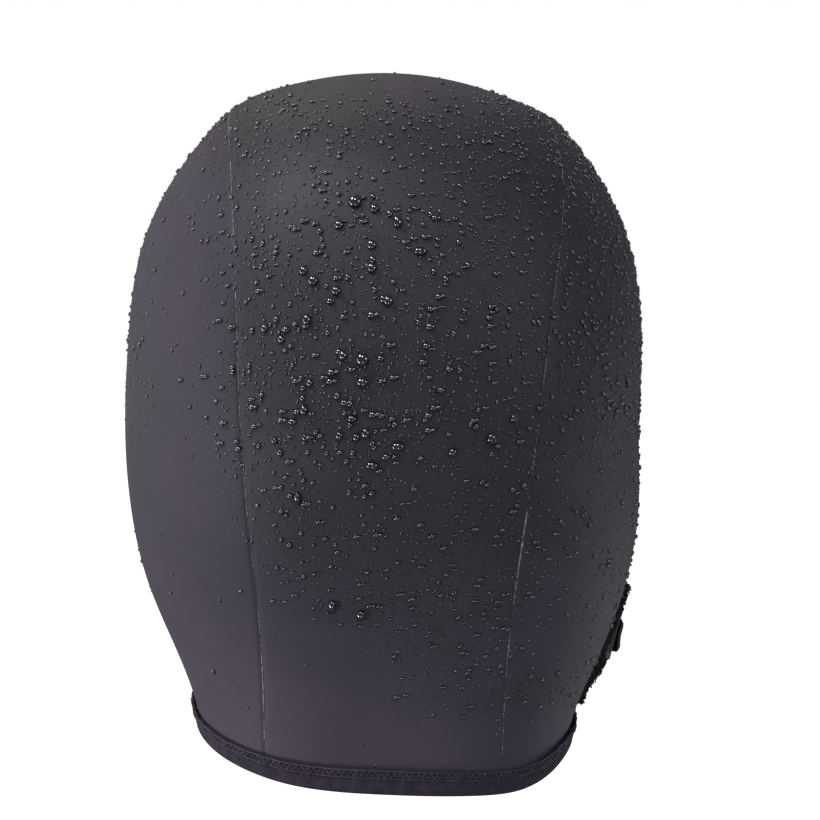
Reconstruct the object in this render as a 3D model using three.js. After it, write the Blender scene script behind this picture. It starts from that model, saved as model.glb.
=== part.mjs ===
// Surf hood: three glued neoprene panels, a bound neck and face edge, and a chin strap
// that closes on the wearer's right jaw. Millimetres, +Z up, +Y where the face looks out,
// +X to the wearer's right. The origin is the inside of the crown, where it sits on a head.
import * as THREE from 'three';

// Driving sizes
const WALL = 3; // neoprene of the three panels
const GAP = 0.3; // clear space between pieces that are sewn, glued or closed on each other
const CROWN_TOP = WALL; // height of the outer crown over the seat
const HEART = new THREE.Vector3(0, 0, -105); // middle of the head, between the ears
const BINDING_CLOTH = 0.9; // folded jersey of the bindings
const BINDING_COVER = BINDING_CLOTH + GAP; // how far a binding stands out past a cut edge
const BINDING_EASE = 0.55; // space between a binding and the faces of the panel it grips
const NECK_BINDING_WIDTH = 9;
const FACE_BINDING_WIDTH = 8;
const FACE_HALF_WIDTH = 58;
const FACE_WIDEST_Z = -135;
const FACE_TOP_Z = -56;
const FACE_ROUNDNESS = 2.6; // superellipse power of the opening over the brow
const JAW_NARROWING = { drop: 70, amount: 6 }; // the opening draws in below its widest level
const STRAP_WALL = 1.8;
const LOOP_THICKNESS = 1.2;
const HOOK_THICKNESS = 0.6;
const TAB_THICKNESS = 0.8;

// Outer form of the hood, as level sections counted down from the crown. left and right are
// the half widths, back and front the half depths; square is the power of the superellipse,
// 2 for an ellipse and more for a boxier section.
const SECTIONS = [
  { down: 0, left: 0, right: 0, back: 0, front: 0, square: 2 },
  { down: 4, left: 31, right: 29, back: 38, front: 34, square: 2.05 },
  { down: 7, left: 41, right: 38.2, back: 50, front: 44.5, square: 2.08 },
  { down: 10, left: 47, right: 45.8, back: 59, front: 53, square: 2.1 },
  { down: 14, left: 52.4, right: 54.2, back: 68, front: 61.5, square: 2.12 },
  { down: 20, left: 58.1, right: 60.7, back: 77, front: 71, square: 2.15 },
  { down: 36, left: 70, right: 72.2, back: 90, front: 85, square: 2.2 },
  { down: 60, left: 80.5, right: 82, back: 98.5, front: 94.5, square: 2.25 },
  { down: 90, left: 84.5, right: 85, back: 102, front: 98.5, square: 2.3 },
  { down: 120, left: 85.5, right: 84.5, back: 99, front: 98, square: 2.3 },
  { down: 145, left: 83.5, right: 84.5, back: 90, front: 96, square: 2.3 },
  { down: 170, left: 77.5, right: 80, back: 77, front: 93, square: 2.3 },
  { down: 195, left: 67, right: 70.5, back: 67, front: 88, square: 2.4 },
  { down: 215, left: 61, right: 62.6, back: 63, front: 78, square: 2.5 },
  { down: 235, left: 60, right: 61, back: 62, front: 68, square: 2.5 },
  { down: 265, left: 60, right: 61, back: 62, front: 62, square: 2.5 },
];

// Height of the finished neck edge round the head. azimuth is 0 on the wearer's right,
// 90 at the face, -90 at the nape and -180 on the left.
const NECK_EDGE = [
  { azimuth: -228, z: -210 },
  { azimuth: -205, z: -211 },
  { azimuth: -180, z: -212 },
  { azimuth: -160, z: -214.5 },
  { azimuth: -140, z: -219 },
  { azimuth: -120, z: -224 },
  { azimuth: -95, z: -226.6 },
  { azimuth: -65, z: -228 },
  { azimuth: -48, z: -227.4 },
  { azimuth: -35, z: -223.5 },
  { azimuth: -20, z: -219 },
  { azimuth: 0, z: -217 },
  { azimuth: 25, z: -215 },
  { azimuth: 50, z: -213 },
];

// The two long seams. turn is the angle about the ear-to-ear axis: 0 at the face, 90 at the
// crown, 180 at the back and 245 at the nape; left and right are the seams' distances from
// the middle.
const SEAMS = [
  { turn: 15, left: 41, right: 41 },
  { turn: 50, left: 47, right: 49 },
  { turn: 90, left: 50.5, right: 53.5 },
  { turn: 110, left: 50.8, right: 55 },
  { turn: 130, left: 49.7, right: 55.8 },
  { turn: 155, left: 48.2, right: 51.2 },
  { turn: 180, left: 46.8, right: 46.3 },
  { turn: 205, left: 43.9, right: 41.8 },
  { turn: 230, left: 40.5, right: 38.2 },
  { turn: 250, left: 39.5, right: 36.6 },
];

// The chin strap from its free end on the right jaw, under the chin, to its sewn end on the
// left jaw. top and bottom are the heights of its edges, which under the chin stand out by
// topReach and bottomReach from the form of the hood; lift is the space under the strap.
const STRAP = [
  { azimuth: 4, top: -180, bottom: -191, topReach: 0, bottomReach: 0, lift: 2.8 },
  { azimuth: 8, top: -178.5, bottom: -193, topReach: 0, bottomReach: 0, lift: 2.8 },
  { azimuth: 17, top: -174.5, bottom: -196.5, topReach: 0, bottomReach: 0, lift: 2.8 },
  { azimuth: 31, top: -170, bottom: -202.5, topReach: 0, bottomReach: 0, lift: 2.8 },
  { azimuth: 47, top: -173, bottom: -209, topReach: 0, bottomReach: 0, lift: 2.7 },
  { azimuth: 61, top: -189, bottom: -219, topReach: 2, bottomReach: -10, lift: 2.4 },
  { azimuth: 76, top: -211, bottom: -229, topReach: 8, bottomReach: -14, lift: 1.8 },
  { azimuth: 90, top: -218, bottom: -232, topReach: 10, bottomReach: -14, lift: 1.8 },
  { azimuth: 104, top: -210, bottom: -228, topReach: 8, bottomReach: -14, lift: 1.8 },
  { azimuth: 119, top: -187, bottom: -216, topReach: 2, bottomReach: -10, lift: 2 },
  { azimuth: 134, top: -168, bottom: -205, topReach: 0, bottomReach: 0, lift: 2.7 },
  { azimuth: 142, top: -163, bottom: -200, topReach: 0, bottomReach: 0, lift: 0.4 },
  { azimuth: 152, top: -160, bottom: -197, topReach: 0, bottomReach: 0, lift: 0.4 },
];

// Flat pieces of the closure on the right jaw: their edges in azimuth and height, at the
// rear edge and at the front edge, and how far their underside lies over the panel.
const LOOP = {
  rear: { azimuth: -4, top: -167, bottom: -206.5 },
  front: { azimuth: 40.5, top: -166, bottom: -203 },
  lift: GAP,
};
const HOOK = {
  rear: { azimuth: 7, top: -180, bottom: -191 },
  front: { azimuth: 37, top: -172.5, bottom: -199 },
  lift: LOOP.lift + LOOP_THICKNESS + GAP,
};
const TAB = {
  rear: { azimuth: 1.5, top: -179.5, bottom: -188 },
  front: { azimuth: 14, top: -178.5, bottom: -190 },
  lift: STRAP[0].lift + STRAP_WALL + GAP,
};

// How finely each piece is faceted
const SEAM_STEPS = 36;
const CENTRE_COLUMNS = 12;
const HEM_SPOKES = 20;
const FACE_SPOKES = 16;
const PANEL_RINGS = 8;
const END_CROWDING = 0.4; // rows of the seams crowd towards the bound edges
const RIM_CROWDING = 1.45; // rings of the side panels crowd towards their rims
const NECK_STEPS = 60;
const FACE_BROW_STEPS = 12;
const STRAP_STEPS_PER_ROW = 3;
const STRAP_COLUMNS = 4;
const PATCH_STEPS = 9;
const PATCH_COLUMNS = 3;

// Limits between which an edge is looked for, in degrees of turn about the ear axis or of
// spread from the ear
const BROW_SEARCH = { crown: 90, cheek: 5 };
const NAPE_SEARCH = { back: 180, neck: 262 };
const JAW_SEARCH = { ear: 0, throat: -70 };
const SPREAD_SEARCH = { ear: 5, middle: 89 };
const BESIDE_SEAM = { first: 10, last: 256 }; // turns where a side panel ends at its seam

const radians = THREE.MathUtils.degToRad;
const degrees = THREE.MathUtils.radToDeg;
const mix = THREE.MathUtils.lerp;

// A natural cubic spline of one column of a table, over the given position of each row
function spline(rows, position, column) {
  const at = rows.map(position);
  const value = rows.map((row) => row[column]);
  const last = rows.length - 1;
  const bend = new Array(rows.length).fill(0);
  const carry = new Array(rows.length).fill(0);
  for (let i = 1; i < last; i += 1) {
    const share = (at[i] - at[i - 1]) / (at[i + 1] - at[i - 1]);
    const pivot = share * bend[i - 1] + 2;
    const slopes = (value[i + 1] - value[i]) / (at[i + 1] - at[i])
      - (value[i] - value[i - 1]) / (at[i] - at[i - 1]);
    bend[i] = (share - 1) / pivot;
    carry[i] = ((6 * slopes) / (at[i + 1] - at[i - 1]) - share * carry[i - 1]) / pivot;
  }
  bend[last] = 0;
  for (let i = last - 1; i >= 0; i -= 1) bend[i] = bend[i] * bend[i + 1] + carry[i];
  bend[0] = 0;
  return (where) => {
    const x = THREE.MathUtils.clamp(where, at[0], at[last]);
    let i = 0;
    while (i < last - 1 && x > at[i + 1]) i += 1;
    const width = at[i + 1] - at[i];
    const a = (at[i + 1] - x) / width;
    const b = 1 - a;
    const curve = (a * (a * a - 1) * bend[i] + b * (b * b - 1) * bend[i + 1]) / 6;
    return a * value[i] + b * value[i + 1] + curve * width * width;
  };
}

// The crown closes round because its columns are splines of the root of the depth
const rootDown = (row) => Math.sqrt(row.down);
const section = {
  left: spline(SECTIONS, rootDown, 'left'),
  right: spline(SECTIONS, rootDown, 'right'),
  back: spline(SECTIONS, rootDown, 'back'),
  front: spline(SECTIONS, rootDown, 'front'),
  square: spline(SECTIONS, rootDown, 'square'),
};
const neckEdge = spline(NECK_EDGE, (row) => row.azimuth, 'z');
const seam = {
  left: spline(SEAMS, (row) => row.turn, 'left'),
  right: spline(SEAMS, (row) => row.turn, 'right'),
};

// Radius of the outer form at a height, towards an azimuth
function formRadius(z, azimuth) {
  const root = Math.sqrt(Math.max(CROWN_TOP - z, 0));
  const across = Math.cos(radians(azimuth));
  const along = Math.sin(radians(azimuth));
  const halfWidth = mix(section.left(root), section.right(root), (1 + across) / 2);
  const halfDepth = mix(section.back(root), section.front(root), (1 + along) / 2);
  const power = section.square(root);
  const sum = Math.abs(across / halfWidth) ** power + Math.abs(along / halfDepth) ** power;
  return sum ** (-1 / power);
}

// A point at a height and a distance from the upright axis, towards an azimuth
function polar(radius, azimuth, z) {
  const angle = radians(azimuth);
  return new THREE.Vector3(radius * Math.cos(angle), radius * Math.sin(angle), z);
}

function isInsideForm(point) {
  if (point.z >= CROWN_TOP) return false;
  return Math.hypot(point.x, point.y) < formRadius(point.z, degrees(Math.atan2(point.y, point.x)));
}

// The value between low and high where a test stops being true
function lastTrue(low, high, test) {
  let near = low;
  let far = high;
  for (let i = 0; i < 40; i += 1) {
    const middle = (near + far) / 2;
    if (test(middle)) near = middle;
    else far = middle;
  }
  return near;
}

// Where a ray from the middle of the head meets the outer form
function formPoint(direction) {
  const along = (reach) => HEART.clone().addScaledVector(direction, reach);
  return along(lastTrue(0, 250, (reach) => isInsideForm(along(reach))));
}

function formNormal(point) {
  const SPREAD = 0.008;
  const out = point.clone().sub(HEART).normalize();
  const side = new THREE.Vector3(0, 1, 0).cross(out);
  if (side.length() < 0.3) side.set(1, 0, 0).cross(out);
  side.normalize();
  const up = out.clone().cross(side);
  const near = (axis, amount) => formPoint(out.clone().addScaledVector(axis, amount).normalize());
  const acrossStep = near(side, SPREAD).sub(near(side, -SPREAD));
  const upStep = near(up, SPREAD).sub(near(up, -SPREAD));
  const normal = acrossStep.cross(upStep).normalize();
  return normal.dot(out) < 0 ? normal.negate() : normal;
}

// The point of the form at a distance x from the middle, at a turn about the ear axis
function pointAtTurn(x, turn) {
  const at = (reach) => new THREE.Vector3(
    x,
    reach * Math.cos(radians(turn)),
    HEART.z + reach * Math.sin(radians(turn)),
  );
  return at(lastTrue(0, 200, (reach) => isInsideForm(at(reach))));
}

// Azimuth in degrees from -270 to 90, so that it runs without a break round the nape
function azimuthOf(point) {
  const azimuth = degrees(Math.atan2(point.y, point.x));
  return azimuth > 90 ? azimuth - 360 : azimuth;
}

const neckCutHeight = (azimuth) => neckEdge(azimuth) + BINDING_COVER;
const isAboveNeckCut = (point) => point.z > neckCutHeight(azimuthOf(point));

// Half width of the face opening at a height, 0 above the brow
function faceHalfWidth(z) {
  if (z < FACE_WIDEST_Z) {
    const drop = (FACE_WIDEST_Z - z) / JAW_NARROWING.drop;
    return FACE_HALF_WIDTH - JAW_NARROWING.amount * drop ** 2;
  }
  const rise = (z - FACE_WIDEST_Z) / (FACE_TOP_Z - FACE_WIDEST_Z);
  if (rise >= 1) return 0;
  return FACE_HALF_WIDTH * (1 - rise ** FACE_ROUNDNESS) ** (1 / FACE_ROUNDNESS);
}

const isInFace = (point) => point.y > 0 && Math.abs(point.x) < faceHalfWidth(point.z);

const coordinates = (points) => points.flatMap((point) => point.toArray());

// A closed wall between two matching grids of points
function wallBetween(outer, inner) {
  const rows = outer.length;
  const columns = outer[0].length;
  const positions = coordinates([outer, inner].flat(2));
  const out = (i, j) => i * columns + j;
  const inn = (i, j) => rows * columns + out(i, j);
  const indices = [];
  const quad = (a, b, c, d) => indices.push(a, b, c, a, c, d);
  const lastRow = rows - 1;
  const lastColumn = columns - 1;
  for (let i = 0; i < lastRow; i += 1) {
    for (let j = 0; j < lastColumn; j += 1) {
      quad(out(i, j), out(i + 1, j), out(i + 1, j + 1), out(i, j + 1));
      quad(inn(i, j), inn(i, j + 1), inn(i + 1, j + 1), inn(i + 1, j));
    }
    quad(out(i, 0), inn(i, 0), inn(i + 1, 0), out(i + 1, 0));
    quad(out(i, lastColumn), out(i + 1, lastColumn), inn(i + 1, lastColumn), inn(i, lastColumn));
  }
  for (let j = 0; j < lastColumn; j += 1) {
    quad(out(0, j), out(0, j + 1), inn(0, j + 1), inn(0, j));
    quad(out(lastRow, j), inn(lastRow, j), inn(lastRow, j + 1), out(lastRow, j + 1));
  }
  return solid(positions, indices);
}

// A closed geometry from its points and triangles, turned so that its faces point out
function solid(positions, indices) {
  let volume = 0;
  const point = (i) => new THREE.Vector3().fromArray(positions, 3 * i);
  for (let i = 0; i < indices.length; i += 3) {
    volume += point(indices[i]).dot(point(indices[i + 1]).cross(point(indices[i + 2])));
  }
  if (volume < 0) indices.reverse();
  const geometry = new THREE.BufferGeometry();
  geometry.setAttribute('position', new THREE.Float32BufferAttribute(positions, 3));
  geometry.setIndex(indices);
  geometry.computeVertexNormals();
  return geometry;
}

const insetAlongNormal = (point, amount) => point.clone().addScaledVector(formNormal(point), -amount);

// Share of the way along a seam, from brow to nape, of one of its rows
function seamShare(row) {
  const even = row / SEAM_STEPS;
  return even - (END_CROWDING * Math.sin(2 * Math.PI * even)) / (2 * Math.PI);
}

// Centre panel: rows from brow to nape, columns from the left seam to the right seam
const centreX = (share, turn) => mix(GAP / 2 - seam.left(turn), seam.right(turn) - GAP / 2, share);

function centreTurns(share) {
  const at = (turn) => pointAtTurn(centreX(share, turn), turn);
  return {
    brow: lastTrue(BROW_SEARCH.crown, BROW_SEARCH.cheek, (turn) => !isInFace(at(turn))),
    nape: lastTrue(NAPE_SEARCH.back, NAPE_SEARCH.neck, (turn) => isAboveNeckCut(at(turn))),
  };
}

function centrePanel() {
  const turns = [];
  for (let j = 0; j <= CENTRE_COLUMNS; j += 1) turns.push(centreTurns(j / CENTRE_COLUMNS));
  const outer = [];
  for (let i = 0; i <= SEAM_STEPS; i += 1) {
    outer.push(turns.map(({ brow, nape }, j) => {
      const turn = mix(brow, nape, seamShare(i));
      return pointAtTurn(centreX(j / CENTRE_COLUMNS, turn), turn);
    }));
  }
  const inner = outer.map((row) => row.map((point) => insetAlongNormal(point, WALL)));
  return wallBetween(outer, inner);
}

// Side panels: rings round the ear out to a border made of seam, neck edge and face edge
function sidePoint(side, spread, turn) {
  const out = Math.sin(radians(spread));
  return formPoint(new THREE.Vector3(
    side * Math.cos(radians(spread)),
    out * Math.cos(radians(turn)),
    out * Math.sin(radians(turn)),
  ));
}

// How far the panel spreads from the ear towards a turn before it leaves the panel
function sideSpread(side, turn) {
  const seamAt = side > 0 ? seam.right : seam.left;
  const endsAtSeam = turn > BESIDE_SEAM.first && turn < BESIDE_SEAM.last;
  return lastTrue(SPREAD_SEARCH.ear, SPREAD_SEARCH.middle, (spread) => {
    const point = sidePoint(side, spread, turn);
    if (isInFace(point) || !isAboveNeckCut(point)) return false;
    return !endsAtSeam || Math.abs(point.x) > seamAt(turn) + GAP / 2;
  });
}

// The point of the face cut of a side panel towards a turn from the ear
function faceCutPoint(side, turn) {
  const isOnPanel = (spread) => !isInFace(sidePoint(side, spread, turn));
  return sidePoint(side, lastTrue(SPREAD_SEARCH.ear, SPREAD_SEARCH.middle, isOnPanel), turn);
}

// The turn where the face cut of a side panel comes down to a height over the neck cut
function jawTurn(side, height) {
  return lastTrue(JAW_SEARCH.ear, JAW_SEARCH.throat, (turn) => {
    const point = faceCutPoint(side, turn);
    return point.z > neckCutHeight(azimuthOf(point)) + height;
  });
}

function sidePanel(side) {
  const { brow, nape } = centreTurns(side > 0 ? 1 : 0);
  const jaw = jawTurn(side, 0);
  const stretches = [
    { from: brow, to: nape, steps: SEAM_STEPS, share: seamShare },
    { from: nape, to: jaw + 360, steps: HEM_SPOKES, share: (i) => i / HEM_SPOKES },
    { from: jaw + 360, to: brow + 360, steps: FACE_SPOKES, share: (i) => i / FACE_SPOKES },
  ];
  const spokes = [];
  for (const { from, to, steps, share } of stretches) {
    for (let i = 0; i < steps; i += 1) {
      const turn = mix(from, to, share(i));
      spokes.push(turn > 270 ? turn - 360 : turn);
    }
  }
  const spreads = spokes.map((turn) => sideSpread(side, turn));
  const outer = [];
  for (let ring = 1; ring <= PANEL_RINGS; ring += 1) {
    const share = 1 - (1 - ring / PANEL_RINGS) ** RIM_CROWDING;
    outer.push(spokes.map((turn, k) => sidePoint(side, spreads[k] * share, turn)));
  }
  const inner = outer.map((row) => row.map((point) => insetAlongNormal(point, WALL)));
  return discWall(outer, inner, sidePoint(side, 0, 0));
}

// A closed wall over rings of points round a middle point
function discWall(outer, inner, middle) {
  const rings = outer.length;
  const count = outer[0].length;
  const outerMiddle = 2 * rings * count;
  const innerMiddle = outerMiddle + 1;
  const positions = coordinates([outer, inner].flat(2).concat(middle, insetAlongNormal(middle, WALL)));
  const out = (i, j) => i * count + (j % count);
  const inn = (i, j) => rings * count + out(i, j);
  const indices = [];
  const quad = (a, b, c, d) => indices.push(a, b, c, a, c, d);
  for (let j = 0; j < count; j += 1) {
    indices.push(outerMiddle, out(0, j), out(0, j + 1));
    indices.push(innerMiddle, inn(0, j + 1), inn(0, j));
    for (let i = 0; i < rings - 1; i += 1) {
      quad(out(i, j), out(i + 1, j), out(i + 1, j + 1), out(i, j + 1));
      quad(inn(i, j), inn(i, j + 1), inn(i + 1, j + 1), inn(i + 1, j));
    }
    const i = rings - 1;
    quad(out(i, j), inn(i, j), inn(i, j + 1), out(i, j + 1));
  }
  return solid(positions, indices);
}

// Outline of a binding folded over a cut edge. over is the distance from the cut edge onto
// the panel, and out the distance from the panel's outer face.
function bindingOutline(width) {
  const outside = BINDING_EASE + BINDING_CLOTH;
  const inside = -WALL - outside;
  const fold = BINDING_COVER / 2;
  return [
    { over: width - BINDING_COVER, out: outside },
    { over: -fold, out: outside },
    { over: -BINDING_COVER, out: outside - fold },
    { over: -BINDING_COVER, out: inside + fold },
    { over: -fold, out: inside },
    { over: width - BINDING_COVER, out: inside },
    { over: width - BINDING_COVER, out: inside + BINDING_CLOTH },
    { over: -GAP, out: inside + BINDING_CLOTH },
    { over: -GAP, out: BINDING_EASE },
    { over: width - BINDING_COVER, out: BINDING_EASE },
  ];
}

// A binding along a cut edge: stations give the edge point and the way onto the panel
function binding(stations, width) {
  const outline = bindingOutline(width);
  const rings = stations.map(({ edge, onto }) => outline.map(({ over, out }) => {
    const beside = edge.clone().addScaledVector(onto, over).sub(HEART).normalize();
    const onForm = formPoint(beside);
    return onForm.addScaledVector(formNormal(onForm), out);
  }));
  return tube(rings);
}

// A closed bar through matching rings of points, with flat ends
function tube(rings) {
  const count = rings[0].length;
  const positions = coordinates(rings.flat());
  const at = (i, j) => i * count + (j % count);
  const indices = [];
  for (let i = 0; i < rings.length - 1; i += 1) {
    for (let j = 0; j < count; j += 1) {
      indices.push(at(i, j), at(i + 1, j), at(i + 1, j + 1));
      indices.push(at(i, j), at(i + 1, j + 1), at(i, j + 1));
    }
  }
  // The end faces follow the folded outline, whose legs face each other across the panel
  const cap = [[0, 1, 8], [0, 8, 9], [1, 2, 8], [2, 3, 8], [3, 7, 8], [3, 4, 7], [4, 5, 7], [5, 6, 7]];
  const end = rings.length - 1;
  for (const [a, b, c] of cap) {
    indices.push(at(0, a), at(0, b), at(0, c));
    indices.push(at(end, a), at(end, c), at(end, b));
  }
  return solid(positions, indices);
}

// The point of the neck cut at an azimuth
function neckCutPoint(azimuth) {
  const z = neckCutHeight(azimuth);
  return polar(formRadius(z, azimuth), azimuth, z);
}

function neckBinding() {
  const rightJaw = azimuthOf(faceCutPoint(1, jawTurn(1, 0)));
  const leftJaw = azimuthOf(faceCutPoint(-1, jawTurn(-1, 0)));
  const stations = [];
  for (let i = 0; i <= NECK_STEPS; i += 1) {
    const edge = neckCutPoint(mix(rightJaw, leftJaw, i / NECK_STEPS));
    stations.push({ edge, onto: new THREE.Vector3(0, 0, 1) });
  }
  return binding(stations, NECK_BINDING_WIDTH);
}

// The face binding starts over the right jaw, clear of the neck binding, and runs over the
// brow to the left jaw
function faceBinding() {
  const clear = NECK_BINDING_WIDTH - BINDING_COVER + GAP;
  const points = [];
  for (const side of [1, -1]) {
    const { brow } = centreTurns(side > 0 ? 1 : 0);
    const jaw = jawTurn(side, clear);
    const cheek = [];
    for (let i = 0; i < FACE_SPOKES; i += 1) {
      cheek.push(faceCutPoint(side, mix(jaw, brow, i / FACE_SPOKES)));
    }
    if (side > 0) {
      points.push(...cheek);
      for (let i = 0; i <= FACE_BROW_STEPS; i += 1) {
        const share = 1 - i / FACE_BROW_STEPS;
        const turn = centreTurns(share).brow;
        points.push(pointAtTurn(centreX(share, turn), turn));
      }
    } else {
      points.push(...cheek.reverse());
    }
  }
  const stations = points.map((edge, i) => {
    const before = points[Math.max(i - 1, 0)];
    const after = points[Math.min(i + 1, points.length - 1)];
    const along = after.clone().sub(before).normalize();
    return { edge, onto: along.cross(formNormal(edge)).negate() };
  });
  return binding(stations, FACE_BINDING_WIDTH);
}

// A flat layer over the hood: a grid of points on its path, from one lift to another
function layer(grid, low, high) {
  const offset = (amounts) => grid.map((row, i) => row.map((point, j) => {
    const ahead = grid[Math.min(i + 1, grid.length - 1)][j].clone();
    const aside = row[Math.min(j + 1, row.length - 1)].clone();
    const along = ahead.sub(grid[Math.max(i - 1, 0)][j]);
    const across = aside.sub(row[Math.max(j - 1, 0)]);
    return point.clone().addScaledVector(across.cross(along).normalize(), amounts[i]);
  }));
  return wallBetween(offset(high), offset(low));
}

function chinStrap() {
  const column = (name) => spline(STRAP, (row) => row.azimuth, name);
  const top = column('top');
  const bottom = column('bottom');
  const topReach = column('topReach');
  const bottomReach = column('bottomReach');
  const azimuths = [];
  for (let i = 0; i < STRAP.length - 1; i += 1) {
    for (let k = 0; k < STRAP_STEPS_PER_ROW; k += 1) {
      azimuths.push(mix(STRAP[i].azimuth, STRAP[i + 1].azimuth, k / STRAP_STEPS_PER_ROW));
    }
  }
  azimuths.push(STRAP.at(-1).azimuth);
  const grid = azimuths.map((azimuth) => {
    const row = [];
    for (let j = 0; j <= STRAP_COLUMNS; j += 1) {
      const share = j / STRAP_COLUMNS;
      const z = mix(top(azimuth), bottom(azimuth), share);
      const reach = mix(topReach(azimuth), bottomReach(azimuth), share);
      row.push(polar(formRadius(z, azimuth) + reach, azimuth, z));
    }
    return row;
  });
  const lift = azimuths.map(liftAt);
  return layer(grid, lift, lift.map((under) => under + STRAP_WALL));
}

// Lift of the strap, straight between the rows of its table
function liftAt(azimuth) {
  const after = STRAP.findIndex((row) => row.azimuth >= azimuth);
  if (after <= 0) return STRAP[0].lift;
  const from = STRAP[after - 1];
  const to = STRAP[after];
  return mix(from.lift, to.lift, (azimuth - from.azimuth) / (to.azimuth - from.azimuth));
}

// A loop patch, hook patch or tab: a layer between its rear edge and its front edge
function closurePiece({ rear, front, lift }, thickness) {
  const grid = [];
  for (let i = 0; i <= PATCH_STEPS; i += 1) {
    const share = i / PATCH_STEPS;
    const azimuth = mix(rear.azimuth, front.azimuth, share);
    const top = mix(rear.top, front.top, share);
    const bottom = mix(rear.bottom, front.bottom, share);
    const row = [];
    for (let j = 0; j <= PATCH_COLUMNS; j += 1) {
      const z = mix(top, bottom, j / PATCH_COLUMNS);
      row.push(polar(formRadius(z, azimuth), azimuth, z));
    }
    grid.push(row);
  }
  const low = grid.map(() => lift);
  return layer(grid, low, low.map((under) => under + thickness));
}

const neoprene = new THREE.MeshStandardMaterial({ color: 0x3a373f, roughness: 0.62, metalness: 0 });
const jersey = new THREE.MeshStandardMaterial({ color: 0x262429, roughness: 0.9, metalness: 0 });
const pile = new THREE.MeshStandardMaterial({ color: 0x1f1d22, roughness: 1, metalness: 0 });
const hooks = new THREE.MeshStandardMaterial({ color: 0x1a191c, roughness: 0.55, metalness: 0 });
const tape = new THREE.MeshStandardMaterial({ color: 0x2c2a2b, roughness: 0.75, metalness: 0 });

function piece(name, geometry, material) {
  const mesh = new THREE.Mesh(geometry, material);
  mesh.name = name;
  return mesh;
}

const hood = new THREE.Group();
hood.add(
  piece('centre_panel', centrePanel(), neoprene),
  piece('side_panel_left', sidePanel(-1), neoprene),
  piece('side_panel_right', sidePanel(1), neoprene),
  piece('neck_binding', neckBinding(), jersey),
  piece('face_binding', faceBinding(), jersey),
  piece('chin_strap', chinStrap(), neoprene),
  piece('loop_patch', closurePiece(LOOP, LOOP_THICKNESS), pile),
  piece('hook_patch', closurePiece(HOOK, HOOK_THICKNESS), hooks),
  piece('pull_tab', closurePiece(TAB, TAB_THICKNESS), tape),
);

export default hood;
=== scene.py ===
import math
from collections import namedtuple

import bpy
import numpy as np
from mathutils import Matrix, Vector


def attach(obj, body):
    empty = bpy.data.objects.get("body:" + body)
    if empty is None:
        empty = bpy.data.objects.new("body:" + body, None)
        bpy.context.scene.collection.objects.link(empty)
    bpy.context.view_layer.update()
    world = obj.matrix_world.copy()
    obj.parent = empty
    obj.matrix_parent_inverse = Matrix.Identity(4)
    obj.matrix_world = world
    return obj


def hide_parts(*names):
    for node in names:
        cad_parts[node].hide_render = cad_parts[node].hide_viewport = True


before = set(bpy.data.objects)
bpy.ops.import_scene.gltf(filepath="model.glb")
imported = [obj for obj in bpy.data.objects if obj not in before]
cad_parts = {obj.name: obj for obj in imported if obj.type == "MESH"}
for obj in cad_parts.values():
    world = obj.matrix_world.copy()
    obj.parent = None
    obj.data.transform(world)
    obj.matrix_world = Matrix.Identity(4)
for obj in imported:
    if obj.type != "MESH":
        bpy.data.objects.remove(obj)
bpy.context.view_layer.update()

MM = 0.001


# Studio
# The hood is looked at from behind, a little from above and from a step to its left. It
# hangs over a pale floor in soft light that comes mostly from the left.
CAMERA_AZIMUTH = math.radians(-1.5)
CAMERA_ELEVATION = math.radians(6)
CAMERA_DISTANCE = 1.4
CAMERA_AIM = Vector((0, 0, -0.1167))
SENSOR_WIDTH = 36
PIXELS_ACROSS = 820
PIXEL = 0.3327 * MM  # at the hood's middle
FRAME_SHIFT = (0.0329, 0.0293)  # the hood stands a little left of and below the frame's middle
FLOOR_Z = -1.3
FLOOR_HALF = 12


def link(name, data):
    """Puts a camera, a lamp or a mesh in the scene."""
    made = bpy.data.objects.new(name, data)
    bpy.context.scene.collection.objects.link(made)
    return made


camera_data = bpy.data.cameras.new("camera")
camera_data.sensor_width = SENSOR_WIDTH
camera_data.lens = SENSOR_WIDTH * CAMERA_DISTANCE / (PIXELS_ACROSS * PIXEL)
camera_data.shift_x, camera_data.shift_y = FRAME_SHIFT
camera_data.clip_end = 50
camera = link("camera", camera_data)
towards_camera = Vector((
    math.sin(CAMERA_AZIMUTH) * math.cos(CAMERA_ELEVATION),
    -math.cos(CAMERA_AZIMUTH) * math.cos(CAMERA_ELEVATION),
    math.sin(CAMERA_ELEVATION),
))
camera.location = CAMERA_AIM + CAMERA_DISTANCE * towards_camera
camera.rotation_euler = towards_camera.to_track_quat("Z", "Y").to_euler()
bpy.context.scene.camera = camera
bpy.context.scene.view_settings.view_transform = "Standard"


def fill_inputs(tree, node, inputs):
    """Gives a node's inputs their values, or links them to other nodes."""
    for name, value in inputs.items():
        if isinstance(value, bpy.types.NodeSocket):
            tree.links.new(value, node.inputs[name])
        else:
            node.inputs[name].default_value = value


def add_node(tree, kind, inputs=None, **settings):
    """Adds a node, with its settings, and the values or links of its inputs."""
    made = tree.nodes.new(kind)
    for name, value in settings.items():
        setattr(made, name, value)
    fill_inputs(tree, made, inputs or {})
    return made


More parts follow.
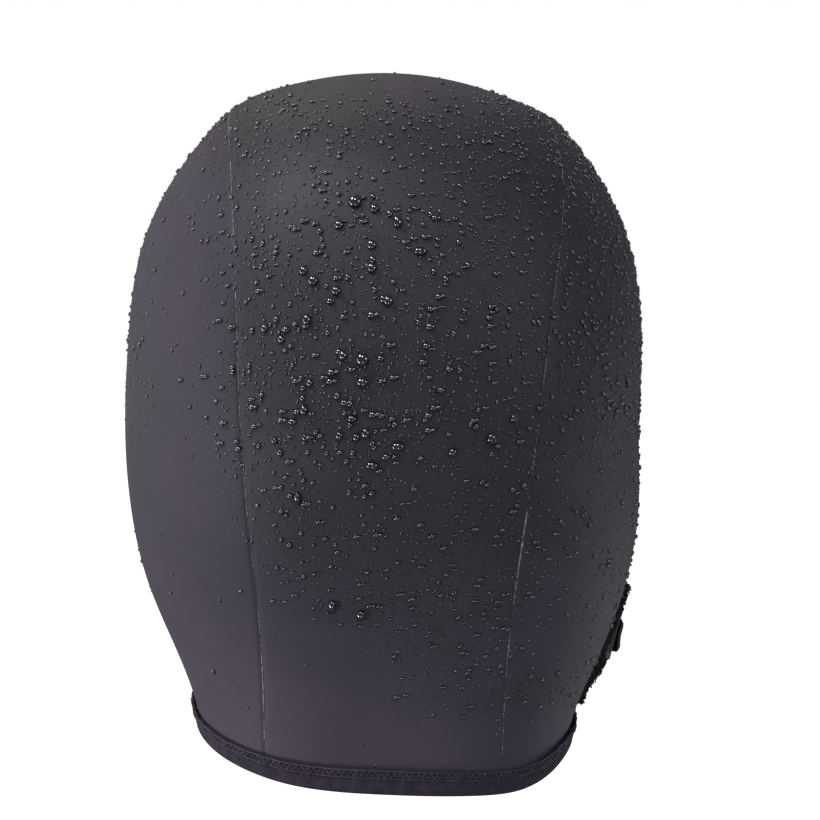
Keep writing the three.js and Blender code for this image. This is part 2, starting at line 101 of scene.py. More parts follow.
def surround(seen, felt):
    """A white surround to the camera, and a dimmer one to the hood."""
    world = bpy.data.worlds.new("studio")
    world.use_nodes = True
    tree = world.node_tree
    tree.nodes.clear()
    path = add_node(tree, "ShaderNodeLightPath")
    backdrop = add_node(tree, "ShaderNodeBackground", {"Color": (1, 1, 1, 1), "Strength": seen})
    room = add_node(tree, "ShaderNodeBackground", {"Color": (0.96, 0.97, 1, 1), "Strength": felt})
    either = add_node(tree, "ShaderNodeMixShader", {
        "Fac": path.outputs["Is Camera Ray"], 1: room.outputs[0], 2: backdrop.outputs[0]})
    add_node(tree, "ShaderNodeOutputWorld", {"Surface": either.outputs[0]})
    bpy.context.scene.world = world


def softbox(name, place, size, power, colour=(1, 1, 1)):
    """A square lamp that faces the middle of the hood."""
    data = bpy.data.lights.new(name, "AREA")
    data.shape = "SQUARE"
    data.size = size
    data.energy = power
    data.color = colour
    lamp = link(name, data)
    lamp.location = place
    lamp.rotation_euler = (Vector(place) - CAMERA_AIM).to_track_quat("Z", "Y").to_euler()


surround(seen=1.0, felt=0.2)
softbox("high_left_lamp", (-0.9, -0.4, 1.1), 0.45, 16)
softbox("low_left_lamp", (-1.2, -0.6, -0.8), 0.35, 8)
softbox("far_left_softbox", (-1.7, 0.1, -0.3), 0.9, 6)
softbox("left_rim_softbox", (-1.3, 0.9, 0), 1.0, 2.5, (1, 1, 0.8))
softbox("high_back_lamp", (-0.1, -1.1, 1.1), 0.35, 7)
softbox("right_lamp", (1.3, -0.9, 0.3), 0.3, 5)
softbox("right_rim_softbox", (1.4, 0.9, -0.8), 0.7, 4, (1, 0.95, 1))
softbox("crown_rim_softbox", (-0.3, 1, 1), 0.6, 2.3, (0.98, 1, 0.5))
softbox("low_back_lamp", (0.1, -1.2, -0.9), 0.25, 1.8)


def new_mesh(name, points, edges=(), faces=()):
    mesh = bpy.data.meshes.new(name)
    mesh.from_pydata(points, edges, faces)
    return mesh


def pale_floor():
    """A wide pale floor, which isn't part of the hood."""
    corners = [(x * FLOOR_HALF, y * FLOOR_HALF, FLOOR_Z) for x, y in ((-1, -1), (1, -1), (1, 1), (-1, 1))]
    floor = link("floor", new_mesh("floor", corners, faces=[(0, 1, 2, 3)]))
    material = bpy.data.materials.new("white floor paint")
    material.use_nodes = True
    tree = material.node_tree
    fill_inputs(tree, tree.nodes["Principled BSDF"], {
        "Base Color": (0.95, 0.95, 0.95, 1), "Roughness": 0.9,
        "Emission Color": (1, 1, 1, 1), "Emission Strength": 1.0})
    floor.data.materials.append(material)
    floor.visible_glossy = False
    floor.visible_diffuse = False


pale_floor()


# Head form
# The three panels are cut and glued so that the hood takes the form of a head. Level
# sections of that form, counted down from the crown, say what they are in millimetres:
# half widths to the left and right, half depths to the back and front.
Section = namedtuple("Section", "down left right back front square")
SECTIONS = [
    Section(0, 0, 0, 0, 0, 2),
    Section(4, 31, 29, 38, 34, 2.05),
    Section(7, 41, 38.2, 50, 44.5, 2.08),
    Section(10, 47, 45.8, 59, 53, 2.1),
    Section(14, 52.4, 54.2, 68, 61.5, 2.12),
    Section(20, 58.1, 60.7, 77, 71, 2.15),
    Section(36, 70, 72.2, 90, 85, 2.2),
    Section(60, 80.5, 82, 98.5, 94.5, 2.25),
    Section(90, 84.5, 85, 102, 98.5, 2.3),
    Section(120, 85.5, 84.5, 99, 98, 2.3),
    Section(145, 83.5, 84.5, 90, 96, 2.3),
    Section(170, 77.5, 80, 77, 93, 2.3),
    Section(195, 67, 70.5, 67, 88, 2.4),
    Section(215, 61, 62.6, 63, 78, 2.5),
    Section(235, 60, 61, 62, 68, 2.5),
    Section(265, 60, 61, 62, 62, 2.5),
]
WALL = 3 * MM
CROWN_TOP = WALL  # the origin is the inside of the crown
HEART = np.array([0, 0, -105 * MM])  # middle of the head, between the ears
REACH = 250 * MM  # further from the heart than any point of the hood
NORMAL_SPREAD = 0.008  # how far apart the rays are that find a normal, at a distance of 1


def spline(at, values):
    """A natural cubic curve through the rows of a table."""
    at = np.asarray(at, float)
    values = np.asarray(values, float)
    width = np.diff(at)
    inner = np.diag(2 * (width[:-1] + width[1:]))
    inner += np.diag(width[1:-1], 1) + np.diag(width[1:-1], -1)
    bend = np.zeros(len(at))
    bend[1:-1] = np.linalg.solve(inner, 6 * np.diff(np.diff(values) / width))

    def curve(where):
        x = np.clip(where, at[0], at[-1])
        i = np.clip(np.searchsorted(at, x, side="right") - 1, 0, len(at) - 2)
        a = (at[i + 1] - x) / width[i]
        b = 1 - a
        lift = (a ** 3 - a) * bend[i] + (b ** 3 - b) * bend[i + 1]
        return a * values[i] + b * values[i + 1] + lift * width[i] ** 2 / 6

    return curve


def table_curves(rows, position, scale):
    """One spline for each named column of a table, times that column's scale."""
    at = [position(row) for row in rows]
    return {name: spline(at, [getattr(row, name) * each for row in rows]) for name, each in scale.items()}


section = table_curves(SECTIONS, lambda row: math.sqrt(row.down * MM),
                       {"left": MM, "right": MM, "back": MM, "front": MM, "square": 1})


def form_radius(z, azimuth):
    """Radius of the outer form at a height, towards an azimuth in degrees: 0 right, 90 face."""
    root = np.sqrt(np.maximum(CROWN_TOP - z, 0))
    across = np.cos(np.radians(azimuth))
    along = np.sin(np.radians(azimuth))
    half_width = section["left"](root) * (1 - across) / 2 + section["right"](root) * (1 + across) / 2
    half_depth = section["back"](root) * (1 - along) / 2 + section["front"](root) * (1 + along) / 2
    power = section["square"](root)
    safe_width = np.maximum(half_width, 1e-9)
    safe_depth = np.maximum(half_depth, 1e-9)
    return (np.abs(across / safe_width) ** power + np.abs(along / safe_depth) ** power) ** (-1 / power)


def azimuth_of(points):
    """Azimuth in degrees from -270 to 90, so that it runs without a break round the nape."""
    azimuth = np.degrees(np.arctan2(points[..., 1], points[..., 0]))
    return np.where(azimuth > 90, azimuth - 360, azimuth)


def depth_outside(points):
    """How far points lie outside the form, measured level; negative inside."""
    radius = np.hypot(points[..., 0], points[..., 1])
    outside = radius - form_radius(points[..., 2], azimuth_of(points))
    return np.where(points[..., 2] >= CROWN_TOP, np.abs(outside) + 1e-9, outside)


def last_true(low, high, test, steps=28):
    """Where tests stop being true between low and high, for arrays of both."""
    near, far = np.broadcast_arrays(np.asarray(low, float), np.asarray(high, float))
    near = near.copy()
    far = far.copy()
    for _ in range(steps):
        middle = (near + far) / 2
        good = test(middle)
        near = np.where(good, middle, near)
        far = np.where(good, far, middle)
    return near


def form_point(directions):
    """Where rays from the heart meet the outer form."""
    reach = last_true(np.zeros(directions.shape[:-1]), REACH,
                      lambda r: depth_outside(HEART + directions * r[..., None]) < 0)
    return HEART + directions * reach[..., None]


def unit(vectors):
    return vectors / np.maximum(np.linalg.norm(vectors, axis=-1, keepdims=True), 1e-12)


def form_normal(points):
    """Outward normal of the form at points on it, from rays beside each of them."""
    out = unit(points - HEART)
    side = np.cross([0, 1.0, 0], out)
    steep = np.linalg.norm(side, axis=-1, keepdims=True) < 0.3
    side = unit(np.where(steep, np.cross([1.0, 0, 0], out), side))
    up = np.cross(out, side)
    right, left = (form_point(unit(out + side * aside)) for aside in (NORMAL_SPREAD, -NORMAL_SPREAD))
    upper, lower = (form_point(unit(out + up * aside)) for aside in (NORMAL_SPREAD, -NORMAL_SPREAD))
    normal = unit(np.cross(right - left, upper - lower))
    flipped = (normal * out).sum(-1, keepdims=True) < 0
    return np.where(flipped, -normal, normal)


def stacked(*parts):
    """One array of points from their parts, which may be grids or single numbers."""
    return np.stack(np.broadcast_arrays(*parts), -1)


def polar(radius, azimuth, z):
    angle = np.radians(azimuth)
    return stacked(radius * np.cos(angle), radius * np.sin(angle), z)


# Neck edge, face opening and seams
# The neck is cut level and dips to the right behind, the face opening is an arch over the
# brow, and two long seams run from the brow over the crown to the nape.
EdgeRow = namedtuple("EdgeRow", "azimuth z")
NECK_EDGE = [
    EdgeRow(-228, -210), EdgeRow(-205, -211), EdgeRow(-180, -212), EdgeRow(-160, -214.5),
    EdgeRow(-140, -219), EdgeRow(-120, -224), EdgeRow(-95, -226.6), EdgeRow(-65, -228),
    EdgeRow(-48, -227.4), EdgeRow(-35, -223.5), EdgeRow(-20, -219), EdgeRow(0, -217),
    EdgeRow(25, -215), EdgeRow(50, -213),
]
SeamRow = namedtuple("SeamRow", "turn left right")
SEAMS = [
    SeamRow(15, 41, 41), SeamRow(50, 47, 49), SeamRow(90, 50.5, 53.5), SeamRow(110, 50.8, 55),
    SeamRow(130, 49.7, 55.8), SeamRow(155, 48.2, 51.2), SeamRow(180, 46.8, 46.3),
    SeamRow(205, 43.9, 41.8), SeamRow(230, 40.5, 38.2), SeamRow(250, 39.5, 36.6),
]
BINDING_CLOTH = 0.9 * MM
BINDING_COVER = 1.2 * MM  # how far a binding stands out past a cut edge
FACE_HALF_WIDTH = 58 * MM
FACE_WIDEST_Z = -135 * MM
FACE_TOP_Z = -56 * MM
FACE_ROUNDNESS = 2.6
JAW_DROP = 70 * MM
JAW_NARROWING = 6 * MM

neck_edge = table_curves(NECK_EDGE, lambda row: row.azimuth, {"z": MM})["z"]
seam = table_curves(SEAMS, lambda row: row.turn, {"left": MM, "right": MM})


def neck_cut_height(azimuth):
    return neck_edge(azimuth) + BINDING_COVER


def is_in_face(points):
    z = points[..., 2]
    below = FACE_HALF_WIDTH - JAW_NARROWING * ((FACE_WIDEST_Z - z) / JAW_DROP) ** 2
    rise = np.clip((z - FACE_WIDEST_Z) / (FACE_TOP_Z - FACE_WIDEST_Z), 0, 1)
    above = FACE_HALF_WIDTH * (1 - rise ** FACE_ROUNDNESS) ** (1 / FACE_ROUNDNESS)
    half_width = np.where(z < FACE_WIDEST_Z, below, above)
    return (points[..., 1] > 0) & (np.abs(points[..., 0]) < half_width)


def is_above_neck_cut(points):
    return points[..., 2] > neck_cut_height(azimuth_of(points))


def point_at_turn(x, turn):
    """The point of the form at a distance x from the middle, at a turn about the ear axis."""
    angle = np.radians(turn)

    def at(reach):
        return stacked(x, reach * np.cos(angle), HEART[2] + reach * np.sin(angle))

    return at(last_true(np.zeros(np.shape(x + turn)), REACH, lambda r: depth_outside(at(r)) < 0))


# Water
# The hood is wet. Beads of water stand on the smooth skin, thick over the crown and the
# back of the head. Lower down they run out in a wedge that ends low on the right.
def smooth_rise(value, start, end):
    share = np.clip((value - start) / (end - start), 0, 1)
    return share * share * (3 - 2 * share)


def rain(points):
    """How thickly water stands on the skin, from 0 to 1."""
    x, y, z = points[..., 0] / MM, points[..., 1] / MM, points[..., 2] / MM
    over_crown = smooth_rise(z, 3, -14) * (0.1 + 0.9 * smooth_rise(x, -66, -36))
    dry_edge = np.interp(-z, (110, 159, 185, 215), (-50, -35, 4, 14))
    right_of_seam = 1 - 0.55 * smooth_rise(x, 40, 52)
    over_hem = 1 - smooth_rise(z, -194, -210)
    run_down = 0.72 * smooth_rise(x, dry_edge - 15, dry_edge + 15) * right_of_seam * over_hem
    low = smooth_rise(z, -98, -124)
    towards_face = 1 - 0.94 * smooth_rise(y, -8, 34)
    return np.clip((over_crown * (1 - low) + run_down * low + 0.02) * towards_face, 0, 1)


def swell(points):
    """How far the beads have grown together, from 0 to 1."""
    x, z = points[..., 0] / MM, points[..., 2] / MM
    return 0.45 + 0.55 * np.exp(-((x + 8) / 50) ** 2 - ((z + 88) / 54) ** 2)


# Neoprene panels
# Three panels of 3 mm foam rubber with a closed smooth skin outside and black jersey
# inside, glued edge to edge. Each seam is a shallow valley, because the skin rolls in.
SEAM_VALLEY = 0.4 * MM
SEAM_ROLL = 0.9 * MM
EDGE_STEPS = np.array([0, 0.2, 0.45, 0.8, 1.2, 1.8, 2.8]) * MM  # grid lines beside a seam
PANEL_STEP = 1.9 * MM
CENTRE_WIDTH = 100 * MM
CENTRE_LENGTH = 400 * MM
SIDE_REACH = 95 * MM  # from the ear to a side panel's border
HEAD_RADIUS = 100 * MM
SHARP_EDGE = math.radians(40)


def grid_faces(index):
    """Quads between the neighbours of a grid of vertex numbers."""
    corners = [index[:-1, :-1], index[1:, :-1], index[1:, 1:], index[:-1, 1:]]
    return np.stack(corners, -1).reshape(-1, 4)


def strip_faces(line, other):
    """Quads between two matching lines of vertex numbers."""
    return np.stack([line[:-1], other[:-1], other[1:], line[1:]], -1)


def closed_wall(outer, inner, round_pole=False):
    """Points of a closed wall between two grids, and its faces: outer, inner and edge."""
    rows, columns = outer.shape[:2]
    count = rows * columns
    top = np.arange(count).reshape(rows, columns)
    points = [outer.reshape(-1, 3), inner.reshape(-1, 3)]
    if round_pole:
        top = np.column_stack([top, top[:, 0]])
        points += [outer[0].mean(0)[None], inner[0].mean(0)[None]]
    under = top + count
    skin = [grid_faces(top)]
    lining = [grid_faces(under)[:, ::-1]]
    edge = [strip_faces(top[-1], under[-1])]
    if round_pole:
        pole = np.full(len(top[0]) - 1, 2 * count)
        skin.append(np.stack([pole, top[0, :-1], top[0, 1:]], -1))
        lining.append(np.stack([pole + 1, under[0, 1:], under[0, :-1]], -1))
    else:
        edge.append(strip_faces(under[0], top[0]))
        edge.append(strip_faces(top[:, 0], under[:, 0]))
        edge.append(strip_faces(under[:, -1], top[:, -1]))
    return np.concatenate(points), [skin, lining, edge]


def signed_volume(points, faces):
    total = 0.0
    for group in faces:
        a = points[group[:, 0]]
        for k in range(1, group.shape[1] - 1):
            total += (a * np.cross(points[group[:, k]], points[group[:, k + 1]])).sum()
    return total


def put_on(made, nodes=None):
    """Lets a piece ride with the hood, in place of the nodes it dresses."""
    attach(made, "root")
    if nodes:
        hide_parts(nodes)


def set_attribute(mesh, name, values):
    """Stores one number or one vector for each point of a mesh."""
    kind, field = ("FLOAT_VECTOR", "vector") if values.ndim == 2 else ("FLOAT", "value")
    attribute = mesh.attributes.new(name, kind, "POINT")
    attribute.data.foreach_set(field, values.astype(np.float32).ravel())


def build_piece(name, points, groups, materials, lay):
    """A smooth object from points and, for each material, its groups of outward faces."""
    if signed_volume(points, [faces for group in groups for faces in group]) < 0:
        groups = [[faces[:, ::-1] for faces in group] for group in groups]
    corners = []
    slots = []
    for number, group in enumerate(groups):
        for faces in group:
            corners += faces.tolist()
            slots += [min(number, len(materials) - 1)] * len(faces)
    mesh = new_mesh(name, points.tolist(), faces=corners)
    for material in materials:
        mesh.materials.append(material)
    mesh.polygons.foreach_set("material_index", slots)
    mesh.polygons.foreach_set("use_smooth", [True] * len(slots))
    mesh.set_sharp_from_angle(angle=SHARP_EDGE)
    vertex = np.zeros(len(mesh.loops), np.int32)
    mesh.loops.foreach_get("vertex_index", vertex)
    layer = mesh.uv_layers.new(name="lay")
    layer.data.foreach_set("uv", lay[vertex].astype(np.float32).ravel())
    return link(name, mesh)


def arc_lengths(points, axis):
    """Distance along a grid's lines from their first point."""
    step = np.linalg.norm(np.diff(points, axis=axis), axis=-1)
    start = np.zeros_like(np.take(step, [0], axis=axis))
    return np.concatenate([start, np.cumsum(step, axis=axis)], axis=axis)


def valley(distance):
    """How deep the rolled skin lies at a distance from its seam."""
    return SEAM_VALLEY * np.exp(-(distance / SEAM_ROLL) ** 2)


def maths(tree, operation, *values):
    return add_node(tree, "ShaderNodeMath", dict(enumerate(values)), operation=operation).outputs[0]


def scaled(tree, vector, amount):
    inputs = {0: vector, "Scale": amount}
    return add_node(tree, "ShaderNodeVectorMath", inputs, operation="SCALE").outputs[0]


def noise(tree, place, scale, detail):
    made = add_node(tree, "ShaderNodeTexNoise", {"Vector": place, "Scale": scale, "Detail": detail})
    return made.outputs["Fac"]


def remap(tree, value, start, end, low, high, **settings):
    """A value's run from start to end, mapped to one from low to high."""
    inputs = {"Value": value, "From Min": start, "From Max": end, "To Min": low, "To Max": high}
    return add_node(tree, "ShaderNodeMapRange", inputs, **settings).outputs[0]


def two_tones(tree, value, low, high):
    """A colour between two, by a value from 0 to 1."""
    shade = add_node(tree, "ShaderNodeValToRGB", {"Fac": value})
    shade.color_ramp.elements[0].color = (*low, 1)
    shade.color_ramp.elements[1].color = (*high, 1)
    return shade.outputs[0]


def bumps(tree, height, strength, distance, **under):
    """A normal with bumps; the word Normal gives another one that they lie on."""
    return add_node(tree, "ShaderNodeBump", {
        "Height": height, "Strength": strength, "Distance": distance, **under}).outputs[0]


def new_finish(name):
    """A new material, its tree and the place of each point on the hood."""
    material = bpy.data.materials.new(name)
    material.use_nodes = True
    tree = material.node_tree
    return material, tree, add_node(tree, "ShaderNodeTexCoord").outputs["Object"]


def set_shader(tree, inputs):
    fill_inputs(tree, tree.nodes["Principled BSDF"], inputs)


def neoprene_skin():
    """Smooth-skin neoprene: charcoal, matt where dry, darker and smoother where wet."""
    material, tree, place = new_finish("smooth-skin neoprene")
    wet = add_node(tree, "ShaderNodeAttribute", attribute_name="rain").outputs["Fac"]
    tone = remap(tree, noise(tree, place, 34, 4), 0.3, 0.7, 0.9, 1.1)
    stretched = add_node(tree, "ShaderNodeMapping", {"Vector": place, "Scale": (300, 300, 14)}).outputs[0]
    trail = remap(tree, noise(tree, stretched, 1, 3), 0.52, 0.68, 0, 0.12)
    darker = maths(tree, "MULTIPLY_ADD", wet, 0.4, maths(tree, "MULTIPLY", trail, wet))
    height = add_node(tree, "ShaderNodeSeparateXYZ", {0: place}).outputs["Z"]
    # The skin's colour grows up to 1.3 times lighter towards the neck, from 125 mm to 175 mm below the
    # origin.
    dried = remap(tree, height, -0.125, -0.175, 1, 1.3, interpolation_type="SMOOTHSTEP")
    amount = maths(tree, "MULTIPLY", tone, maths(tree, "SUBTRACT", dried, darker))
    grain = bumps(tree, noise(tree, place, 2600, 2), 0.25, 0.06 * MM)
    set_shader(tree, {
        "Base Color": scaled(tree, (0.04, 0.0325, 0.05), amount),
        "Roughness": remap(tree, darker, 0, 0.5, 0.72, 0.6),
        "Normal": bumps(tree, noise(tree, place, 160, 2), 0.3, 0.3 * MM, Normal=grain),
        "Specular IOR Level": 0.4})
    return material


def knit_cloth(name, colour, rib, strength, roughness=0.85, sheen=0.25):
    """A knitted cloth whose ribs follow the piece's own lay."""
    material, tree, place = new_finish(name)
    lay = add_node(tree, "ShaderNodeUVMap", uv_map="lay").outputs[0]

    def bands(direction, scale, distortion):
        made = add_node(tree, "ShaderNodeTexWave", {
            "Vector": lay, "Scale": scale, "Distortion": distortion, "Detail": 1.0,
        }, wave_type="BANDS", bands_direction=direction)
        return made.outputs["Fac"]

    loops = maths(tree, "MULTIPLY", bands("X", 0.314 / rib, 1.2), bands("Y", 0.5 / rib, 2.0))
    uneven = remap(tree, noise(tree, place, 420, 5), 0.3, 0.72, 0.55, 1.5)
    amount = maths(tree, "MULTIPLY", uneven, maths(tree, "MULTIPLY_ADD", loops, 0.5, 0.7))
    set_shader(tree, {
        "Base Color": scaled(tree, colour, amount), "Normal": bumps(tree, loops, strength, rib * 0.5),
        "Roughness": roughness, "Sheen Weight": sheen})
    return material


def foam_edge():
    """The open cut edge of the foam rubber, a little lighter than its skin."""
    material, tree, place = new_finish("cut neoprene foam")
    cells = add_node(tree, "ShaderNodeTexVoronoi", {"Vector": place, "Scale": 3200.0}).outputs["Distance"]
    set_shader(tree, {
        "Base Color": two_tones(tree, cells, (0.08, 0.075, 0.09), (0.24, 0.23, 0.26)),
        "Normal": bumps(tree, cells, 0.5, 0.1 * MM), "Roughness": 0.7})
    return material


skin = neoprene_skin()
lining = knit_cloth("black jersey lining", (0.036, 0.033, 0.04), 0.7 * MM, 0.5)
foam = foam_edge()


def centre_x(share, turn):
    return -seam["left"](turn) * (1 - share) + seam["right"](turn) * share


def centre_turns(share):
    """Turns about the ear axis where the centre panel ends at the brow and at the nape."""
    def at(turn):
        return point_at_turn(centre_x(share, turn), turn)
    brow = last_true(np.full(np.shape(share), 90.0), 5, lambda turn: ~is_in_face(at(turn)))
    nape = last_true(np.full(np.shape(share), 180.0), 262, lambda turn: is_above_neck_cut(at(turn)))
    return brow, nape


def seam_ends(side):
    """The turns where one side's seam ends at the brow and at the nape."""
    brow, nape = centre_turns(np.array([1.0 if side > 0 else 0.0]))
    return brow[0], nape[0]


def centre_panel_surface():
    """Base grid of the centre panel, brow to nape by left seam to right seam."""
    beside = EDGE_STEPS / CENTRE_WIDTH
    middle = np.linspace(beside[-1], 1 - beside[-1], round(CENTRE_WIDTH / PANEL_STEP))[1:-1]
    share = np.concatenate([beside, middle, 1 - beside[::-1]])
    brow, nape = centre_turns(share)
    along = np.linspace(0, 1, round(CENTRE_LENGTH / PANEL_STEP))[:, None]
    turn = brow + (nape - brow) * along
    return point_at_turn(centre_x(share, turn), turn)


def finish_panel(name, base, from_seam, lay, round_pole, nodes):
    """Rolls a panel's skin in at its seams, gives it its wall and puts it on the hood."""
    normal = form_normal(base)
    outer = base - normal * valley(from_seam)[..., None]
    inner = base - normal * WALL
    points, groups = closed_wall(outer, inner, round_pole)
    flat = lay.reshape(-1, 2)
    both = [flat, flat] + ([lay[0].mean(0)[None]] * 2 if round_pole else [])
    panel = build_piece(name, points, groups, [skin, lining, foam], np.concatenate(both))
    set_attribute(panel.data, "rain", rain(points))
    put_on(panel, nodes)
    return outer


centre = centre_panel_surface()
across = arc_lengths(centre, 1)
down = arc_lengths(centre, 0)
centre_skin = finish_panel(
    "centre_panel_skin", centre, np.minimum(across, across[:, -1:] - across),
    np.stack([across - across[:, -1:] / 2, down], -1), False, "centre_panel")


def side_point(side, spread, turn):
    """The point of the form at a spread from the ear, towards a turn about the ear axis."""
    out = np.sin(np.radians(spread))
    turn = np.radians(turn)
    return form_point(stacked(side * np.cos(np.radians(spread)), out * np.cos(turn), out * np.sin(turn)))


def face_cut_point(side, turn):
    spread = last_true(np.full(np.shape(turn), 5.0), 89, lambda s: ~is_in_face(side_point(side, s, turn)))
    return side_point(side, spread, turn)


def jaw_turn(side, height):
    """The turn where a side panel's face cut comes down to a height over the neck cut."""
    def is_higher(turn):
        point = face_cut_point(side, turn)
        return point[..., 2] > neck_cut_height(azimuth_of(point)) + height
    return last_true(np.zeros(1), -70, is_higher)[0]


SEAM_SPOKES = 200
NECK_SPOKES = 70
FACE_SPOKES = 90


def side_panel_surface(side):
    """Base grid of a side panel, rings round the ear by spokes out to its border."""
    brow, nape = seam_ends(side)
    jaw = jaw_turn(side, 0) + 360
    stretches = [(brow, nape, SEAM_SPOKES), (nape, jaw, NECK_SPOKES), (jaw, brow + 360, FACE_SPOKES)]
    turn = np.concatenate([np.linspace(*stretch, endpoint=False) for stretch in stretches])
    turn = np.where(turn > 270, turn - 360, turn)
    border = seam["right" if side > 0 else "left"](turn)
    beside_seam = (turn > 10) & (turn < 256)

    def is_on_panel(spread):
        points = side_point(side, spread, turn)
        outside_seam = ~beside_seam | (np.abs(points[..., 0]) > border)
        return ~is_in_face(points) & is_above_neck_cut(points) & outside_seam

    reach = last_true(np.full(turn.shape, 5.0), 89, is_on_panel)
    beside = EDGE_STEPS / SIDE_REACH
    middle = np.linspace(0.01, 1 - beside[-1], round(SIDE_REACH / PANEL_STEP))[:-1]
    share = np.concatenate([middle, 1 - beside[::-1]])[:, None]
    base = side_point(side, reach * share, turn)
    towards = stacked(np.cos(np.radians(turn)), np.sin(np.radians(turn)))
    lay = HEAD_RADIUS * np.radians(reach * share)[..., None] * towards
    return base, lay, np.arange(len(turn)) < SEAM_SPOKES


def side_panel(name, side, node):
    base, lay, at_seam = side_panel_surface(side)
    outwards = arc_lengths(base, 0)
    from_rim = outwards[-1] - outwards
    return finish_panel(name, base, np.where(at_seam, from_rim, 1), lay, True, node)


left_skin = side_panel("side_panel_left_skin", -1, "side_panel_left")
right_skin = side_panel("side_panel_right_skin", 1, "side_panel_right")


# Glue lines
# The panels are dry-glued edge to edge. A thin line of glue has squeezed out along each
# seam and dried pale; it breaks off and starts again, and low on each side it is smeared.
GLUE_WIDTH = 0.31 * MM
GLUE_DASH = 1.9 * MM
GLUE_PITCH = 0.9 * MM
SEAM_POINTS = 400


def new_tree(name, numbers):
    """An empty geometry tree whose inputs are the geometry, named numbers and a material."""
    tree = bpy.data.node_groups.new(name, "GeometryNodeTree")
    face = tree.interface
    face.new_socket("Geometry", in_out="INPUT", socket_type="NodeSocketGeometry")
    for label, value in numbers.items():
        kind = "NodeSocketInt" if isinstance(value, int) else "NodeSocketFloat"
        face.new_socket(label, in_out="INPUT", socket_type=kind).default_value = value
    face.new_socket("Material", in_out="INPUT", socket_type="NodeSocketMaterial")
    face.new_socket("Geometry", in_out="OUTPUT", socket_type="NodeSocketGeometry")
    return tree, add_node(tree, "NodeGroupInput").outputs


def close_tree(tree, geometry, material):
    """Ends a tree: its instances are made real, smooth and of one material."""
    for kind in ("GeometryNodeRealizeInstances", "GeometryNodeSetShadeSmooth"):
        geometry = add_node(tree, kind, {"Geometry": geometry}).outputs[0]
    dressed = add_node(tree, "GeometryNodeSetMaterial", {"Geometry": geometry, "Material": material})
    add_node(tree, "NodeGroupOutput", {"Geometry": dressed.outputs[0]})
    return tree


def vector_maths(tree, operation, *values):
    return add_node(tree, "ShaderNodeVectorMath", dict(enumerate(values)), operation=operation).outputs[0]


def random_number(tree, low, high, seed):
    made = add_node(tree, "FunctionNodeRandomValue", {2: low, 3: high, "Seed": seed}, data_type="FLOAT")
    return made.outputs[1]


def stored(tree, name, kind="FLOAT_VECTOR"):
    """What a surface or a path stores for each of its points."""
    made = add_node(tree, "GeometryNodeInputNamedAttribute", {"Name": name}, data_type=kind)
    return made.outputs["Attribute"]


def aligned(tree, axis, vector, rotation=None, pivot="AUTO"):
    """A rotation that turns an axis of a shape towards a vector."""
    inputs = {"Vector": vector}
    if rotation is not None:
        inputs["Rotation"] = rotation
    made = add_node(tree, "FunctionNodeAlignRotationToVector", inputs, axis=axis, pivot_axis=pivot)
    return made.outputs[0]


def run_tree(made, tree, material, **values):
    """Runs a tree on an object with the given inputs, and keeps the result as a plain mesh."""
    modifier = made.modifiers.new(tree.name, "NODES")
    modifier.node_group = tree
    sockets = {item.name: item.identifier for item in tree.interface.items_tree if item.in_out == "INPUT"}
    for label, value in values.items():
        modifier[sockets[label.replace("_", " ").capitalize()]] = value
    modifier[sockets["Material"]] = material
    graph = bpy.context.evaluated_depsgraph_get()
    mesh = bpy.data.meshes.new_from_object(made.evaluated_get(graph), depsgraph=graph)
    made.modifiers.clear()
    made.data = mesh
    mesh.materials.clear()
    mesh.materials.append(material)
    mesh.polygons.foreach_set("material_index", [0] * len(mesh.polygons))
    return made


def path_object(name, points, outward, across=None):
    """A line of points that carries the directions which a sewn or glued row follows."""
    mesh = new_mesh(name, points.tolist(), [(i, i + 1) for i in range(len(points) - 1)])
    set_attribute(mesh, "outward", outward)
    if across is not None:
        set_attribute(mesh, "across", across)
    return link(name, mesh)


def even_curve(tree, path, step):
    """A path as a curve with a point at each step."""
    curve = add_node(tree, "GeometryNodeMeshToCurve", {"Mesh": path}).outputs[0]
    inputs = {"Curve": curve, "Length": step}
    return add_node(tree, "GeometryNodeResampleCurve", inputs, mode="LENGTH").outputs[0]


def glue_tree():
    """Uneven dashes along a path, which run together, thin out and break off."""
    tree, given = new_tree("Broken glue line", {
        "Pitch": GLUE_PITCH, "Width": GLUE_WIDTH, "Dash": GLUE_DASH, "Patch size": 9 * MM, "Seed": 4,
    })
    even = even_curve(tree, given["Geometry"], given["Pitch"])
    points = add_node(tree, "GeometryNodeCurveToPoints", {"Curve": even}, mode="EVALUATED")
    lies = aligned(tree, "Z", stored(tree, "outward"), aligned(tree, "X", points.outputs["Tangent"]), "X")
    dash = add_node(tree, "GeometryNodeMeshIcoSphere", {"Radius": 0.5, "Subdivisions": 1})
    patches = add_node(tree, "ShaderNodeTexNoise", {
        "Scale": maths(tree, "DIVIDE", 1.0, given["Patch size"]), "Detail": 2.0})
    plenty = maths(tree, "SUBTRACT", patches.outputs["Fac"], 0.38)
    kept = maths(tree, "GREATER_THAN", plenty, random_number(tree, 0.0, 0.16, given["Seed"]))
    long = maths(tree, "MULTIPLY", given["Dash"], random_number(tree, 0.25, 1.2, given["Seed"]))
    spread = maths(tree, "MULTIPLY", random_number(tree, 0.5, 1.25, given["Seed"]), maths(
        tree, "ADD", plenty, 0.75))
    wide = maths(tree, "MULTIPLY", given["Width"], spread)
    size = add_node(tree, "ShaderNodeCombineXYZ", {0: long, 1: wide, 2: maths(tree, "MULTIPLY", wide, 0.6)})
    dashes = add_node(tree, "GeometryNodeInstanceOnPoints", {
        "Points": points.outputs["Points"], "Selection": kept, "Instance": dash.outputs[0],
        "Rotation": lies, "Scale": size.outputs[0]})
    return close_tree(tree, dashes.outputs[0], given["Material"])


